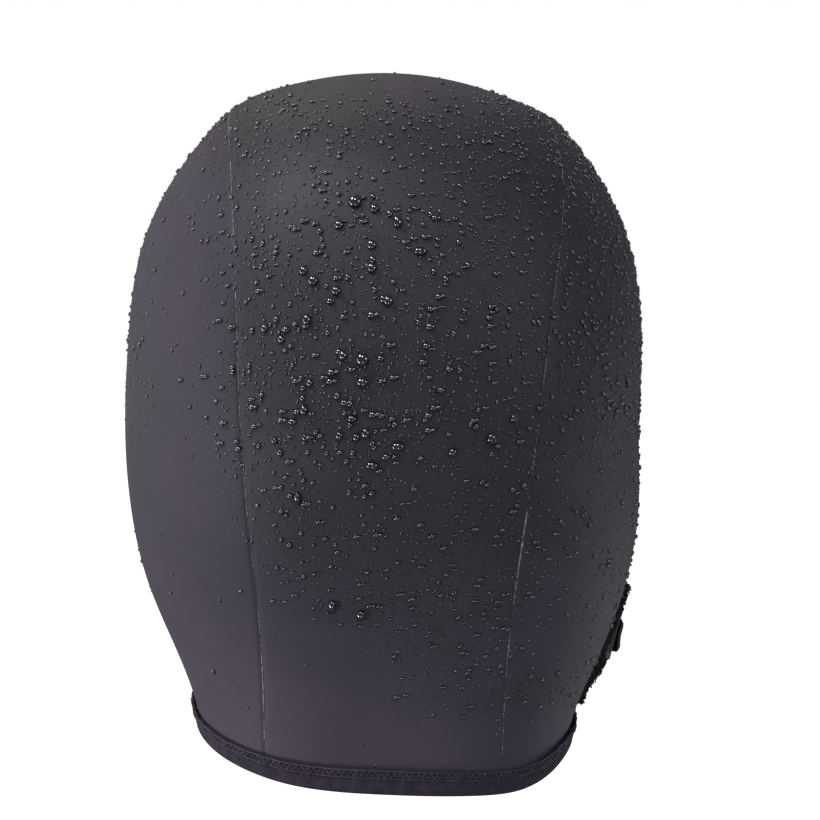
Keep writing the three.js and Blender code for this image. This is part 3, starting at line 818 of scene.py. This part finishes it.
def plain_finish(name, colour, roughness, grain=900.0, contrast=0.35, strength=0.2):
    """A finish of one colour that varies a little from place to place."""
    material, tree, place = new_finish(name)
    speckle = noise(tree, place, grain, 3)
    amount = remap(tree, speckle, 0.3, 0.7, 1 - contrast, 1 + contrast)
    set_shader(tree, {
        "Base Color": scaled(tree, colour, amount), "Normal": bumps(tree, speckle, strength, 0.3 / grain),
        "Roughness": roughness})
    return material


glue_line = glue_tree()
dried_glue = plain_finish("dried glue", (0.23, 0.215, 0.25), 0.5, contrast=0.6)


def seam_path(side_name, side, start=0.0, end=1.0):
    """The seam on the form between two shares of its way, clear of both bindings."""
    brow, nape = seam_ends(side)
    turn = np.linspace(brow + 4, nape - 3, SEAM_POINTS)
    turn = turn[int(start * len(turn)):int(end * len(turn))]
    return point_at_turn(side * seam[side_name](turn), turn)


def lay_glue(name, on_form, **sizes):
    out = form_normal(on_form)
    glue = path_object(name, on_form - out * SEAM_VALLEY * 0.75, out)
    run_tree(glue, glue_line, dried_glue, **sizes)
    put_on(glue)


lay_glue("glue_line_left", seam_path("left", -1), seed=3)
lay_glue("glue_line_right", seam_path("right", 1), seed=5, width=0.36 * MM)
lay_glue("glue_smear_left", seam_path("left", -1, start=0.945), seed=7, width=0.55 * MM, dash=3 * MM)
lay_glue("glue_smear_right", seam_path("right", 1, start=0.755, end=0.89), seed=2, width=0.66 * MM,
         dash=3 * MM)


# Blind stitches
# Inside, each glued seam is blind stitched: a zigzag thread that goes into the foam and
# comes out again without reaching the outer skin.
STITCH_STEPS = 8  # points of a thread for each stitch


def stitch_tree():
    """One thread that zigzags or runs straight along a path, down in its holes, up between."""
    tree, given = new_tree("Sewn thread", {
        "Stitch": 2.5 * MM, "Width": 2 * MM, "Rise": 0.25 * MM, "Thickness": 0.3 * MM,
    })
    even = even_curve(tree, given["Geometry"], maths(tree, "DIVIDE", given["Stitch"], STITCH_STEPS))
    along = add_node(tree, "GeometryNodeSplineParameter").outputs["Length"]
    half_stitches = maths(tree, "MULTIPLY", maths(tree, "DIVIDE", along, given["Stitch"]), 2.0)
    swing = maths(tree, "SUBTRACT", maths(tree, "PINGPONG", half_stitches, 1.0), 0.5)
    sideways = scaled(tree, stored(tree, "across"), maths(tree, "MULTIPLY", swing, given["Width"]))
    arch = maths(tree, "ABSOLUTE", maths(tree, "SINE", maths(tree, "MULTIPLY", half_stitches, math.pi)))
    height = maths(tree, "MULTIPLY", maths(tree, "SUBTRACT", arch, 0.45), given["Rise"])
    upwards = scaled(tree, stored(tree, "outward"), height)
    moved = add_node(tree, "GeometryNodeSetPosition", {
        "Geometry": even, "Offset": vector_maths(tree, "ADD", sideways, upwards)})
    ring = add_node(tree, "GeometryNodeCurvePrimitiveCircle", {
        "Resolution": 5, "Radius": maths(tree, "MULTIPLY", given["Thickness"], 0.5)})
    thread = add_node(tree, "GeometryNodeCurveToMesh", {
        "Curve": moved.outputs[0], "Profile Curve": ring.outputs[0], "Fill Caps": True})
    return close_tree(tree, thread.outputs[0], given["Material"])


sewn_thread = stitch_tree()
sewing_thread = plain_finish("charcoal polyester thread", (0.047, 0.038, 0.06), 0.6, 1500.0, 0.7)


def sew(name, points, outward, slot, **sizes):
    """Sews one row of thread along points that lie on a piece."""
    along = unit(np.gradient(points, axis=0))
    row = path_object(name, points, outward, unit(np.cross(outward, along)))
    run_tree(row, sewn_thread, sewing_thread, **sizes)
    put_on(row)


for side_name, side in (("left", -1), ("right", 1)):
    on_form = seam_path(side_name, side)
    inward = -form_normal(on_form)
    on_lining = on_form + inward * (WALL + 0.1 * MM)
    sew("blind_stitches_" + side_name, on_lining, inward, "neoprene",
        stitch=3.2 * MM, width=4 * MM, rise=0.3 * MM, thickness=0.3 * MM)


# Bindings
# Black jersey tape, folded over the cut edge of the neck and of the face opening, and held
# by a cover stitch: two rows of needle thread with a zigzag looper thread between them.
BINDING_EASE = 0.55 * MM
NECK_BINDING_WIDTH = 9 * MM
FACE_BINDING_WIDTH = 8 * MM
NECK_POINTS = 620
CHEEK_POINTS = 150
BROW_POINTS = 70
FOLD_POINTS = 9
LEG_POINTS = 9
PUCKER = 0.19 * MM
PUCKER_WAVES = ((1, 1.25 * MM, 0), (0.6, 0.83 * MM, 1.3), (0.5, 3.7 * MM, 0))  # height, length, start


def folded_outline(width):
    """Closed outline of folded tape, as distances onto the panel and out from its skin."""
    middle = -WALL / 2
    reach = BINDING_EASE + BINDING_CLOTH - middle
    leg = width - BINDING_COVER
    turn = np.linspace(0, math.pi, FOLD_POINTS)
    legs = np.linspace(leg, 0, LEG_POINTS)

    def one_face(depth, cover, rounding):
        """One face of the cloth: down the outer leg, round the fold and up the inner leg."""
        fold = np.stack([-cover * np.sin(turn), middle + depth * np.cos(turn)], -1)
        down = np.stack([legs[:-1], np.full(LEG_POINTS - 1, middle + depth)], -1)
        up = down[::-1] * [1, -1] + [0, 2 * middle]
        line = np.concatenate([down, fold, up])
        line[0, 1] -= rounding
        line[-1, 1] += rounding
        return line

    round_lip = 0.3 * BINDING_CLOTH
    outer = one_face(reach, BINDING_COVER, round_lip)
    inner = one_face(reach - BINDING_CLOTH, BINDING_COVER - BINDING_CLOTH, -round_lip)
    tip = leg + round_lip
    half = reach - BINDING_CLOTH / 2
    return np.concatenate([outer, [[tip, middle - half]], inner[::-1], [[tip, middle + half]]])


def on_binding(edges, onto, over, out):
    """Points over a panel beside its cut edge, at distances onto the panel and out from it."""
    on_form = form_point(unit(edges + onto * over - HEART))
    normal = form_normal(on_form)
    return on_form + normal * out, normal


def puckers(length, over, width):
    """Small waves that the cover stitch pulls into the tape, strongest between its rows."""
    wave = sum(height * np.sin(length / period + start) for height, period, start in PUCKER_WAVES)
    return PUCKER * wave * np.exp(-((over - 0.65 * width) / (0.38 * width)) ** 2)


def binding_piece(name, node, edges, onto, width):
    outline = folded_outline(width)
    over, out = outline[:, 0], outline[:, 1]
    points, normal = on_binding(edges[:, None], onto[:, None], over[:, None], out[:, None])
    length = arc_lengths(edges, 0)[:, None]
    skin_side = out > -WALL / 2
    ripple = np.where(skin_side, puckers(length, over, width), 0)
    points = points + normal * ripple[..., None]
    count = len(outline)
    index = np.arange(points.shape[0] * count).reshape(-1, count)
    around = np.column_stack([index, index[:, 0]])
    girth = np.concatenate([[0], np.cumsum(np.linalg.norm(np.diff(outline, axis=0), axis=-1))])
    lay = stacked(length, girth[None, :]).reshape(-1, 2)
    faces = [grid_faces(around)]
    for ring, flip in ((index[0], False), (index[-1], True)):
        pairs = list(zip(ring[: count // 2], ring[::-1][: count // 2]))
        for (a, b), (c, d) in zip(pairs, pairs[1:]):
            quad = np.array([[a, b, d, c]])
            faces.append(quad[:, ::-1] if flip else quad)
    put_on(build_piece(name, points.reshape(-1, 3), [faces], [binding_cloth], lay), node)
    straight = {"width": 0.0, "stitch": 5 * MM, "rise": 0.3 * MM, "thickness": 0.34 * MM}
    zigzag = {"width": 0.22 * width, "stitch": 2.0 * MM, "rise": 0.22 * MM, "thickness": 0.34 * MM}
    for label, share, sizes in (
        ("_needle_row_upper", 0.85, straight), ("_needle_row_lower", 0.55, straight),
        ("_looper_thread", 0.7, zigzag),
    ):
        at = share * width
        face = BINDING_EASE + BINDING_CLOTH + 0.08 * MM + puckers(length[:, 0], at, width)
        row, outward = on_binding(edges, onto, at, face[:, None])
        sew(name + label, row, outward, "binding", **sizes)


binding_cloth = knit_cloth("black jersey binding", (0.034, 0.0245, 0.0465), 0.55 * MM, 0.9, 0.9, 0.0)

jaw_azimuths = [azimuth_of(face_cut_point(side, np.array([jaw_turn(side, 0)])))[0] for side in (1, -1)]
neck_azimuths = np.linspace(*jaw_azimuths, NECK_POINTS)
neck_z = neck_cut_height(neck_azimuths)
neck_cut = polar(form_radius(neck_z, neck_azimuths), neck_azimuths, neck_z)
upwards = np.tile([0, 0, 1.0], (len(neck_cut), 1))
binding_piece("neck_hem", "neck_binding", neck_cut, upwards, NECK_BINDING_WIDTH)


def face_cut():
    """The face opening's cut edge, from the right jaw over the brow to the left jaw."""
    cheeks = {}
    clear = NECK_BINDING_WIDTH - BINDING_COVER + 0.3 * MM
    for side in (1, -1):
        turn = np.linspace(jaw_turn(side, clear), seam_ends(side)[0], CHEEK_POINTS)[:-1]
        cheeks[side] = face_cut_point(side, turn)
    share = np.linspace(1, 0, BROW_POINTS)
    turn = centre_turns(share)[0]
    over_brow = point_at_turn(centre_x(share, turn), turn)
    return np.concatenate([cheeks[1], over_brow, cheeks[-1][::-1]])


face_edge = face_cut()
face_onto = -unit(np.cross(unit(np.gradient(face_edge, axis=0)), form_normal(face_edge)))
binding_piece("face_hem", "face_binding", face_edge, face_onto, FACE_BINDING_WIDTH)


# Chin strap
# A strap of 1.8 mm neoprene with cut edges, lapped and sewn on the left jaw. It passes
# under the chin and closes on the right jaw, and there it tapers to its free end.
StrapRow = namedtuple("StrapRow", "azimuth top bottom top_reach bottom_reach lift")
STRAP = [
    StrapRow(4, -180, -191, 0, 0, 2.8), StrapRow(8, -178.5, -193, 0, 0, 2.8),
    StrapRow(17, -174.5, -196.5, 0, 0, 2.8), StrapRow(31, -170, -202.5, 0, 0, 2.8),
    StrapRow(47, -173, -209, 0, 0, 2.7), StrapRow(61, -189, -219, 2, -10, 2.4),
    StrapRow(76, -211, -229, 8, -14, 1.8), StrapRow(90, -218, -232, 10, -14, 1.8),
    StrapRow(104, -210, -228, 8, -14, 1.8), StrapRow(119, -187, -216, 2, -10, 2),
    StrapRow(134, -168, -205, 0, 0, 2.7), StrapRow(142, -163, -200, 0, 0, 0.4),
    StrapRow(152, -160, -197, 0, 0, 0.4),
]
STRAP_WALL = 1.8 * MM
STRAP_WIDTH = 36 * MM
CORNER_LIFT = 1.5 * MM
CORNER_LENGTH = 15  # degrees of azimuth from the free end
BORDER_POINTS = 4

strap_curves = table_curves(STRAP, lambda row: row.azimuth, dict.fromkeys(StrapRow._fields[1:5], MM))


def strap_lift(azimuth):
    return np.interp(azimuth, [row.azimuth for row in STRAP], [row.lift * MM for row in STRAP])


def corner_lift(azimuth, share):
    """How far the strap's free end has come off the pile at its lower corner."""
    start = STRAP[0].azimuth
    return CORNER_LIFT * share ** 1.5 * (1 - smooth_rise(azimuth, start, start + CORNER_LENGTH))


def strap_place(azimuth, share):
    """Points on the strap's path, at azimuths and shares of its width."""
    top, bottom, top_reach, bottom_reach = (strap_curves[name](azimuth) for name in StrapRow._fields[1:5])
    z = top * (1 - share) + bottom * share
    return polar(form_radius(z, azimuth) + top_reach * (1 - share) + bottom_reach * share, azimuth, z)


def soft_border(count, width, radius):
    """Shares across a slab's width, crowded at its edges, and how far its faces round off there."""
    turn = np.linspace(0, math.pi / 2, BORDER_POINTS)
    beside = radius * (1 - np.cos(turn)) / width
    middle = np.linspace(beside[-1], 1 - beside[-1], count)[1:-1]
    share = np.concatenate([beside, middle, 1 - beside[::-1]])
    drop = np.zeros(len(share))
    drop[:BORDER_POINTS] = radius * (1 - np.sin(turn))
    drop[-BORDER_POINTS:] = drop[:BORDER_POINTS][::-1]
    return share, drop


def slab_piece(name, node, grid, low, thickness, drop, materials):
    """A layer of cloth, foam or tape over a grid, with its long edges rounded."""
    normal = unit(np.cross(np.gradient(grid, axis=1), np.gradient(grid, axis=0)))
    outer = grid + normal * (low + thickness - drop)[..., None]
    inner = grid + normal * (low + drop)[..., None]
    points, groups = closed_wall(outer, inner)
    lay = np.stack([arc_lengths(grid, 0), arc_lengths(grid, 1)], -1).reshape(-1, 2)
    slab = build_piece(name, points, groups, materials, np.concatenate([lay, lay]))
    put_on(slab, node)
    return slab


strap_azimuths = np.linspace(STRAP[0].azimuth, STRAP[-1].azimuth, 190)
share, drop = soft_border(22, STRAP_WIDTH, 0.35 * MM)
strap_grid = strap_place(strap_azimuths[:, None], share[None, :])
strap_low = strap_lift(strap_azimuths)[:, None] + corner_lift(strap_azimuths[:, None], share[None, :])
# The strap is charcoal neoprene, but its colour is painted about twice as light as the hood's skin. This is
# painted light against the shade on the right jaw, where its free end closes.
strap_painted_lighter = plain_finish("strap neoprene with painted light", (0.075, 0.067, 0.085), 0.62, 1800.0, 0.25)
slab_piece("chin_strap_band", "chin_strap", strap_grid, strap_low, STRAP_WALL, drop,
           [strap_painted_lighter, lining, foam])


def on_strap(azimuth, share):
    """A line over the strap's outer face, and the directions out of it."""
    along = strap_place(azimuth + 0.5, share) - strap_place(azimuth - 0.5, share)
    down = strap_place(azimuth, share + 0.02) - strap_place(azimuth, share - 0.02)
    normal = unit(np.cross(down, along))
    height = strap_lift(azimuth) + STRAP_WALL + 0.06 * MM
    return strap_place(azimuth, share) + normal * height[:, None], normal


def box_of_stitches(name, start, end, upper, lower):
    """A closed box of lockstitch, between two azimuths and two shares of the strap's width."""
    corners = [(start, upper), (end, upper), (end, lower), (start, lower), (start, upper)]
    steps = np.linspace(0, 1, 60, endpoint=False)[:, None]
    sides = [np.array(a) * (1 - steps) + np.array(b) * steps for a, b in zip(corners, corners[1:])]
    azimuth, share = np.concatenate(sides).T
    points, normal = on_strap(azimuth, share)
    sew(name, points, normal, "strap_neoprene",
        width=0.0, stitch=5 * MM, rise=0.28 * MM, thickness=0.32 * MM)


box_of_stitches("strap_lap_stitches", start=143.2, end=150.6, upper=0.07, lower=0.93)
box_of_stitches("hook_patch_stitches", start=15.2, end=36, upper=0.16, lower=0.82)


# Touch closure
# A patch of brushed loop pile is sewn to the right jaw, a patch of moulded hooks under the
# strap's free end takes hold of it, and a folded tab of stiff tape is there to pull.
LOOP_THICKNESS = 1.2 * MM
LOOP_WIDTH = 39 * MM
TAB_THICKNESS = 0.8 * MM
TAB_WIDTH = 10 * MM
TAB_NARROWING = 0.42  # how much narrower the tab's rounded rear end is
Patch = namedtuple("Patch", "rear_azimuth rear_top rear_bottom front_azimuth front_top front_bottom lift")
LOOP = Patch(-4, -167, -206.5, 40.5, -166, -203, 0.3)
TAB = Patch(1.5, -179.5, -188, 14, -178.5, -190, 4.9)


def patch_surface(patch, rows, share, corner=0.0):
    """Grid of a patch over the form; corner is how much of its length its rear rounds off in."""
    along = np.linspace(0, 1, rows)[:, None]
    azimuth = patch.rear_azimuth + (patch.front_azimuth - patch.rear_azimuth) * along
    top = patch.rear_top + (patch.front_top - patch.rear_top) * along
    bottom = patch.rear_bottom + (patch.front_bottom - patch.rear_bottom) * along
    if corner:
        near = np.clip(along / corner, 0, 1)
        narrow = 1 - TAB_NARROWING * (1 - np.sqrt(1 - (1 - near) ** 2))
        middle = (top + bottom) / 2
        top, bottom = middle + (top - middle) * narrow, middle + (bottom - middle) * narrow
    z = (top * (1 - share) + bottom * share) * MM
    return polar(form_radius(z, azimuth), azimuth, z)


def loop_swell(points):
    """How far the pile stands up where the strap doesn't press it down."""
    azimuth = azimuth_of(points)
    top, bottom = (strap_curves[name](azimuth) for name in ("top", "bottom"))
    z = points[..., 2]
    above = smooth_rise(z, top, top + 5 * MM) * smooth_rise(z, -166 * MM, -174 * MM)
    below = smooth_rise(z, bottom + 3 * MM, bottom - 1 * MM) * np.clip((z + 207 * MM) / (15 * MM), 0, 1)
    behind = 1 - smooth_rise(azimuth, STRAP[0].azimuth - 4, STRAP[0].azimuth)
    return np.maximum(0.8 * above, np.maximum(2.5 * below, 0.7 * behind)) * MM


share, drop = soft_border(30, LOOP_WIDTH, 0.4 * MM)
loop_grid = patch_surface(LOOP, 80, share[None, :])
pile_cloth = plain_finish("black loop pile", (0.018, 0.015, 0.02), 1.0, 1500.0, 0.6, 0.8)
loop_full = LOOP_THICKNESS + loop_swell(loop_grid)
loop_backing = slab_piece("loop_pile_backing", "loop_patch", loop_grid, LOOP.lift * MM,
                          loop_full, drop, [pile_cloth])


def pile_tree():
    """Small brushed loops that stand at random over a patch, and fray past its edges."""
    tree, given = new_tree("Brushed pile", {
        "Density": 9.5e5, "Loop": 0.8 * MM, "Fibre": 0.2 * MM, "Seed": 11,
    })
    spots = add_node(tree, "GeometryNodeDistributePointsOnFaces", {
        "Mesh": given["Geometry"], "Density": given["Density"], "Seed": given["Seed"]})
    arc = add_node(tree, "GeometryNodeCurveArc", {
        "Resolution": 5, "Radius": 0.5, "Start Angle": -0.6, "Sweep Angle": 4.1})
    ring = add_node(tree, "GeometryNodeCurvePrimitiveCircle", {
        "Resolution": 3, "Radius": maths(tree, "DIVIDE", given["Fibre"], given["Loop"])})
    loop = add_node(tree, "GeometryNodeCurveToMesh", {
        "Curve": arc.outputs[0], "Profile Curve": ring.outputs[0]})
    upright = add_node(tree, "GeometryNodeTransform", {
        "Geometry": loop.outputs[0], "Translation": (0, 0, 0.25), "Rotation": (math.pi / 2, 0, 0)})
    aside = add_node(tree, "FunctionNodeRandomValue", {
        0: (-1, -1, -1), 1: (1, 1, 1), "Seed": given["Seed"]}, data_type="FLOAT_VECTOR")
    leaning = vector_maths(tree, "ADD", spots.outputs["Normal"], scaled(tree, aside.outputs[0], 0.85))
    round_turn = random_number(tree, 0.0, 2 * math.pi, given["Seed"])
    turn = add_node(tree, "ShaderNodeCombineXYZ", {2: round_turn})
    turned = add_node(tree, "FunctionNodeRotateRotation", {
        "Rotation": aligned(tree, "Z", leaning), "Rotate By": turn.outputs[0]}, rotation_space="LOCAL")
    size = maths(tree, "MULTIPLY", given["Loop"], random_number(tree, 0.55, 1.35, given["Seed"]))
    loops = add_node(tree, "GeometryNodeInstanceOnPoints", {
        "Points": spots.outputs["Points"], "Instance": upright.outputs[0], "Rotation": turned.outputs[0],
        "Scale": size})
    return close_tree(tree, loops.outputs[0], given["Material"])


# The pile fibre is black, painted a little lighter as painted light against the shade on the right jaw.
pile_fibre_painted_lighter = plain_finish("black pile fibre with painted light", (0.026, 0.021, 0.029), 0.75, 900.0, 0.5)
pile = link("loop_pile", loop_backing.data.copy())
run_tree(pile, pile_tree(), pile_fibre_painted_lighter)
put_on(pile)

share, drop = soft_border(10, TAB_WIDTH, 0.25 * MM)
tab_grid = patch_surface(TAB, 40, share[None, :], corner=0.22)
tab_low = TAB.lift * MM + corner_lift(azimuth_of(tab_grid), share[None, :])
# The tape's colour is its own olive brown, painted lighter as painted light against the shade on the right
# jaw.
tape = knit_cloth("stiff woven tape with painted light", (0.115, 0.103, 0.083), 0.45 * MM, 0.5, 0.7, 0.0)
slab_piece("pull_tape", "pull_tab", tab_grid, tab_low, TAB_THICKNESS, drop, [tape])

hook_plastic = plain_finish("moulded hook tape", (0.018, 0.017, 0.02), 0.45, 700.0, 0.5, 0.6)
hook_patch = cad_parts["hook_patch"]
hook_patch.data.materials.clear()
hook_patch.data.materials.append(hook_plastic)


# Water beads
# Water doesn't wet the smooth skin but stands on it in domes: fine ones by the thousand,
# larger ones where they ran together, and a few drops that hang, about to run down.
BEAD_HEIGHT = 0.78  # both as shares of a bead's radius
BEAD_MIDDLE = 0.3


def dome(tree, facets, place=(0, 0), width=1.0, length=1.0):
    """A bead of radius 1, a little flat, that stands on the skin and overhangs it."""
    ball = add_node(tree, "GeometryNodeMeshUVSphere", {
        "Segments": facets, "Rings": maths(tree, "MULTIPLY", facets, 0.5), "Radius": 1.0})
    made = add_node(tree, "GeometryNodeTransform", {
        "Geometry": ball.outputs["Mesh"], "Scale": (width, length, BEAD_HEIGHT),
        "Translation": (*place, BEAD_MIDDLE)})
    return made.outputs[0]


def bead_shapes(tree, facets):
    """Three beads to choose from: a round one, one with a small neighbour, and a long one."""
    pair = add_node(tree, "GeometryNodeJoinGeometry")
    tree.links.new(dome(tree, facets, (-0.35, 0)), pair.inputs[0])
    tree.links.new(dome(tree, facets, (0.75, 0.2), 0.65, 0.65), pair.inputs[0])
    shapes = add_node(tree, "GeometryNodeGeometryToInstance")
    for shape in (dome(tree, facets), pair.outputs[0], dome(tree, facets, width=0.8, length=1.35)):
        tree.links.new(shape, shapes.inputs[0])
    return shapes.outputs[0]


def hung(tree, outward):
    """A rotation that stands a bead on the skin, with its length down the hood."""
    return aligned(tree, "Y", (0, 0, 1), aligned(tree, "Z", outward), "Z")


def bead_tree():
    """Beads of random size over a surface, thick where it stores much rain."""
    tree, given = new_tree("Water beads", {
        "Spacing": 1.2 * MM, "Density": 3e5, "Smallest": 0.25 * MM, "Largest": 1.0 * MM, "Crowding": 3.0,
        "Facets": 8, "Last shape": 2, "Seed": 1,
    })
    spots = add_node(tree, "GeometryNodeDistributePointsOnFaces", {
        "Mesh": given["Geometry"], "Distance Min": given["Spacing"], "Density Max": given["Density"],
        "Density Factor": stored(tree, "rain", "FLOAT"), "Seed": given["Seed"],
    }, distribute_method="POISSON")
    chance = maths(tree, "POWER", random_number(tree, 0.0, 1.0, given["Seed"]), given["Crowding"])
    spread = maths(tree, "SUBTRACT", given["Largest"], given["Smallest"])
    grown = maths(tree, "MULTIPLY", maths(tree, "MULTIPLY", chance, spread), stored(tree, "swell", "FLOAT"))
    radius = maths(tree, "ADD", given["Smallest"], grown)
    wide = maths(tree, "MULTIPLY", radius, random_number(tree, 0.85, 1.35, given["Seed"]))
    size = add_node(tree, "ShaderNodeCombineXYZ", {0: wide, 1: radius, 2: radius})
    which = add_node(tree, "FunctionNodeRandomValue", {
        4: 0, 5: given["Last shape"], "Seed": given["Seed"]}, data_type="INT")
    beads = add_node(tree, "GeometryNodeInstanceOnPoints", {
        "Points": spots.outputs["Points"],
        "Instance": bead_shapes(tree, given["Facets"]), "Pick Instance": True,
        "Instance Index": which.outputs[2], "Rotation": hung(tree, spots.outputs["Normal"]),
        "Scale": size.outputs[0]})
    return close_tree(tree, beads.outputs[0], given["Material"])


def water_finish():
    """Clear water over dark skin: nearly black, with a sharp gloss."""
    material, tree, place = new_finish("water on neoprene")
    cloudy = noise(tree, place, 90, 1)
    set_shader(tree, {
        "Base Color": two_tones(tree, cloudy, (0.003, 0.0028, 0.004), (0.009, 0.008, 0.011)),
        "Roughness": 0.04, "IOR": 2.1, "Specular Tint": (0.93, 0.89, 1.0, 1)})
    return material


water = water_finish()
water_beads = bead_tree()


def wet_surface(name):
    """The outer skin of the three panels as one sheet, which says where water stands."""
    points = []
    faces = []
    for grid, round_pole in ((centre_skin, False), (left_skin, True), (right_skin, True)):
        index = np.arange(grid.shape[0] * grid.shape[1]).reshape(grid.shape[:2]) + sum(map(len, points))
        if round_pole:
            index = np.column_stack([index, index[:, 0]])
        points.append(grid.reshape(-1, 3))
        faces.append(grid_faces(index))
    points = np.concatenate(points)
    faces = np.concatenate(faces)
    a, b, _, d = (points[faces[:, corner]] for corner in range(4))
    is_outward = (np.cross(b - a, d - a) * (a - HEART)).sum(-1) > 0
    faces = np.where(is_outward[:, None], faces, faces[:, ::-1])
    mesh = new_mesh(name, points.tolist(), faces=faces.tolist())
    set_attribute(mesh, "rain", rain(points))
    set_attribute(mesh, "swell", swell(points))
    return link(name, mesh)


BEADS = {
    "water_speckle": {"spacing": 0.6 * MM, "density": 2.1e5, "smallest": 0.15 * MM, "largest": 0.45 * MM,
                      "crowding": 1.5, "facets": 6, "last_shape": 0, "seed": 3},
    "water_beads": {"spacing": 1.5 * MM, "density": 1.0e5, "smallest": 0.38 * MM, "largest": 1.25 * MM,
                    "crowding": 2.1, "facets": 8, "last_shape": 2, "seed": 8},
}
for name, sizes in BEADS.items():
    beads = run_tree(wet_surface(name), water_beads, water, **sizes)
    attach(beads, "root")


# Hanging drops
# The largest drops, where small ones ran together at the back of the head, and two tracks
# of small drops that those left on their way down. x is to the right, z up from the crown.
Drop = namedtuple("Drop", "x z width height")
DROPS = [
    Drop(-11, -35, 4.3, 4.3), Drop(-16, -42, 3, 3), Drop(-5, -37, 3, 3), Drop(2, -41, 3, 4.3),
    Drop(-6, -48, 3, 3.3), Drop(-27, -56, 2.7, 3), Drop(-24, -59, 3.3, 3.3), Drop(-6, -55, 3, 3.3),
    Drop(9, -50, 4.3, 2.7), Drop(-17, -62, 3, 3), Drop(-1, -65, 3, 3.3), Drop(-26, -71, 2.7, 3.7),
    Drop(12, -73, 3, 2.3), Drop(-9, -83, 4, 4.3), Drop(-9, -90, 3.7, 3), Drop(-27, -99, 2.3, 3.3),
    Drop(31, -108, 3.3, 3.7), Drop(2, -110, 4.3, 3), Drop(-6, -116, 4, 2.7), Drop(19, -112, 3, 2.7),
    Drop(-29, -127, 2, 4.3), Drop(-8, -106, 2.7, 3.6), Drop(-18, -163, 2.7, 4.7), Drop(-9, -166, 3, 4),
    Drop(77, -95, 1.7, 2.7), Drop(14, -40, 3.3, 2), Drop(38, -102, 2.3, 2.7), Drop(-39, -74, 2.3, 2.7),
]
Track = namedtuple("Track", "x top bottom drops")
TRACKS = [Track(-27.5, -119, -158, 9), Track(-12.5, -95, -125, 8)]


def back_point(x, z):
    """The point of the form behind the head at a place in x and z."""
    y = last_true(np.zeros(np.shape(x)), REACH, lambda y: depth_outside(np.stack([x, -y, z], -1)) < 0)
    return np.stack([x, -y, z], -1)


def track_drops():
    """Small drops down each track, uneven in size and never quite in line."""
    rows = []
    for track in TRACKS:
        for number in range(track.drops):
            share = number / (track.drops - 1)
            aside = 0.5 * math.sin(5.1 * number + track.x)
            grown = 1.1 + 0.45 * math.sin(3.7 * number)
            z = track.top * (1 - share) + track.bottom * share
            rows.append(Drop(track.x + aside, z, grown, 1.4 * grown))
    return rows


def hanging_tree():
    """One dome for each point, of the width and height that the point stores."""
    tree, given = new_tree("Hanging drops", {"Facets": 20})
    points = add_node(tree, "GeometryNodeMeshToPoints", {"Mesh": given["Geometry"]})
    drops = add_node(tree, "GeometryNodeInstanceOnPoints", {
        "Points": points.outputs[0], "Instance": dome(tree, given["Facets"]),
        "Rotation": hung(tree, stored(tree, "outward")), "Scale": stored(tree, "half_size")})
    return close_tree(tree, drops.outputs[0], given["Material"])


def hanging_drops(name):
    rows = DROPS + track_drops()
    x, z, width, height = (np.array([getattr(row, field) for row in rows]) * MM for field in Drop._fields)
    points = back_point(x, z)
    mesh = new_mesh(name, points.tolist())
    set_attribute(mesh, "outward", form_normal(points))
    set_attribute(mesh, "half_size", np.stack([width, height, np.sqrt(width * height)], -1) / 2)
    drops = run_tree(link(name, mesh), hanging_tree(), water)
    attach(drops, "root")


hanging_drops("hanging_drops")
